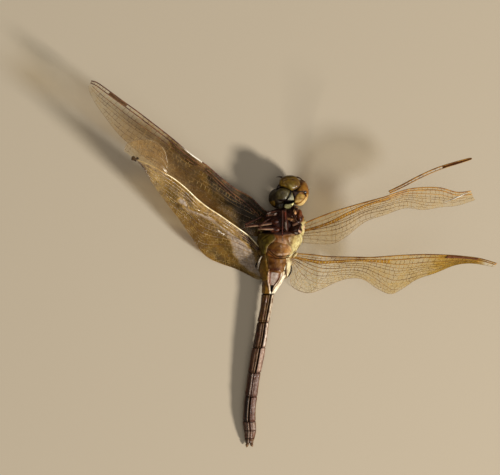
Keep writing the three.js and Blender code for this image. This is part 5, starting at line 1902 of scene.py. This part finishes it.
# ---- dark edge spots ----
# Near the tip of three wings the gap between the front edge and the main tube is filled by a thick,
# opaque, red-brown cell, which weights the wing in flight. The third is on the split edge below.
SPOT_THICKNESS = 0.16
# [start, stop, colour, second colour]
SPOTS = {
    "hindwing_left": [0.80, 0.93, (0.105, 0.026, 0.008), (0.19, 0.058, 0.014)],
    "forewing_right": [0.74, 0.83, (0.060, 0.028, 0.012), (0.13, 0.070, 0.030)],
}


def filled_cell(corner, spans=24, chords=4):
    """A thick closed plate over the cell whose corners corner(s, t) gives, for s and t from 0 to 1."""
    bm = bmesh.new()
    bmesh.ops.create_grid(bm, x_segments=spans, y_segments=chords, size=0.5)
    for vert in bm.verts:
        vert.co = corner(vert.co.x + 0.5, vert.co.y + 0.5)
    bmesh.ops.recalc_face_normals(bm, faces=bm.faces)
    bmesh.ops.solidify(bm, geom=bm.faces[:], thickness=SPOT_THICKNESS)
    return bm


def wing_spot(wing, start, stop):
    main = [(along_wing(wing, part), t) for part, t in WING_KINDS[wing]["tubes"]["main"][1:]]

    def corner(s, t):
        along = start + (stop - start) * s
        point = wing_point(wing, along, tube_height(main, along) * t)
        return point + Vector((0, 0, 0.5 * SPOT_THICKNESS))

    return filled_cell(corner)


spot_horn = shell_material(
    "spot_horn", roughness=0.35, mottle=0.3, grain=5.0, relief=0.3, coat=0.3, dust=0.05
)
for wing, (start, stop, *spot_colours) in SPOTS.items():
    spot = wing_spot(wing, start, stop)
    finish_piece(wing + "_spot", spot, spot_horn, [], lumpy_paint(*spot_colours))

# ---- split front edge of the left forewing ----
# Beyond the node its edge tube and main tube have torn away from the skin and stand up alone,
# still bridged by short cross tubes and holding the dark spot at their end.
SPLIT_EDGE = [
    (28.4, 11.9, 18.3, 0.24), (31.4, 13.4, 20.3, 0.28), (35.4, 15.6, 23.3, 0.30),
    (39.9, 17.6, 26.3, 0.32), (45.6, 19.3, 30.0, 0.26), (46.8, 19.6, 30.9, 0.06),
]                                      # x, y, z and half the width between the two tubes
SPLIT_BRIDGES = 15
SPLIT_SPOT = (0.62, 0.98)


def split_point(k, across):
    """A point on the split edge: k from the node to the tip, across from -1, its front, to 1."""
    middle, half_width = path_point(SPLIT_EDGE, k)
    return middle - across * half_width * UP.cross(path_heading(SPLIT_EDGE, k)).normalized()


split_runs = []
for across, radius in ((-1, 0.23), (1, 0.17)):
    split_runs.append([[split_point(k, across) for k in steps(0, 1, 60)], radius, 0.45 * radius])
for i in range(SPLIT_BRIDGES):
    k = (i + 0.5) * SPLIT_SPOT[0] / SPLIT_BRIDGES
    split_runs.append([[split_point(k, -1), split_point(k, 1)], FINE_RADIUS, FINE_RADIUS])
split_finish = tube_material("split_edge", (0.20, 0.075, 0.010), (0.50, 0.24, 0.040))
split_tubes = tube_net(split_runs, 1)
finish_piece("forewing_left_edge_tubes", split_tubes, split_finish, ["forewing_left_edge"])
spot_start, spot_stop = SPLIT_SPOT
split_spot = filled_cell(lambda s, t: split_point(spot_start + (spot_stop - spot_start) * s, 2 * t - 1))
split_paint = lumpy_paint(*SPOTS["hindwing_left"][2:])
finish_piece("forewing_left_edge_spot", split_spot, spot_horn, [], split_paint)
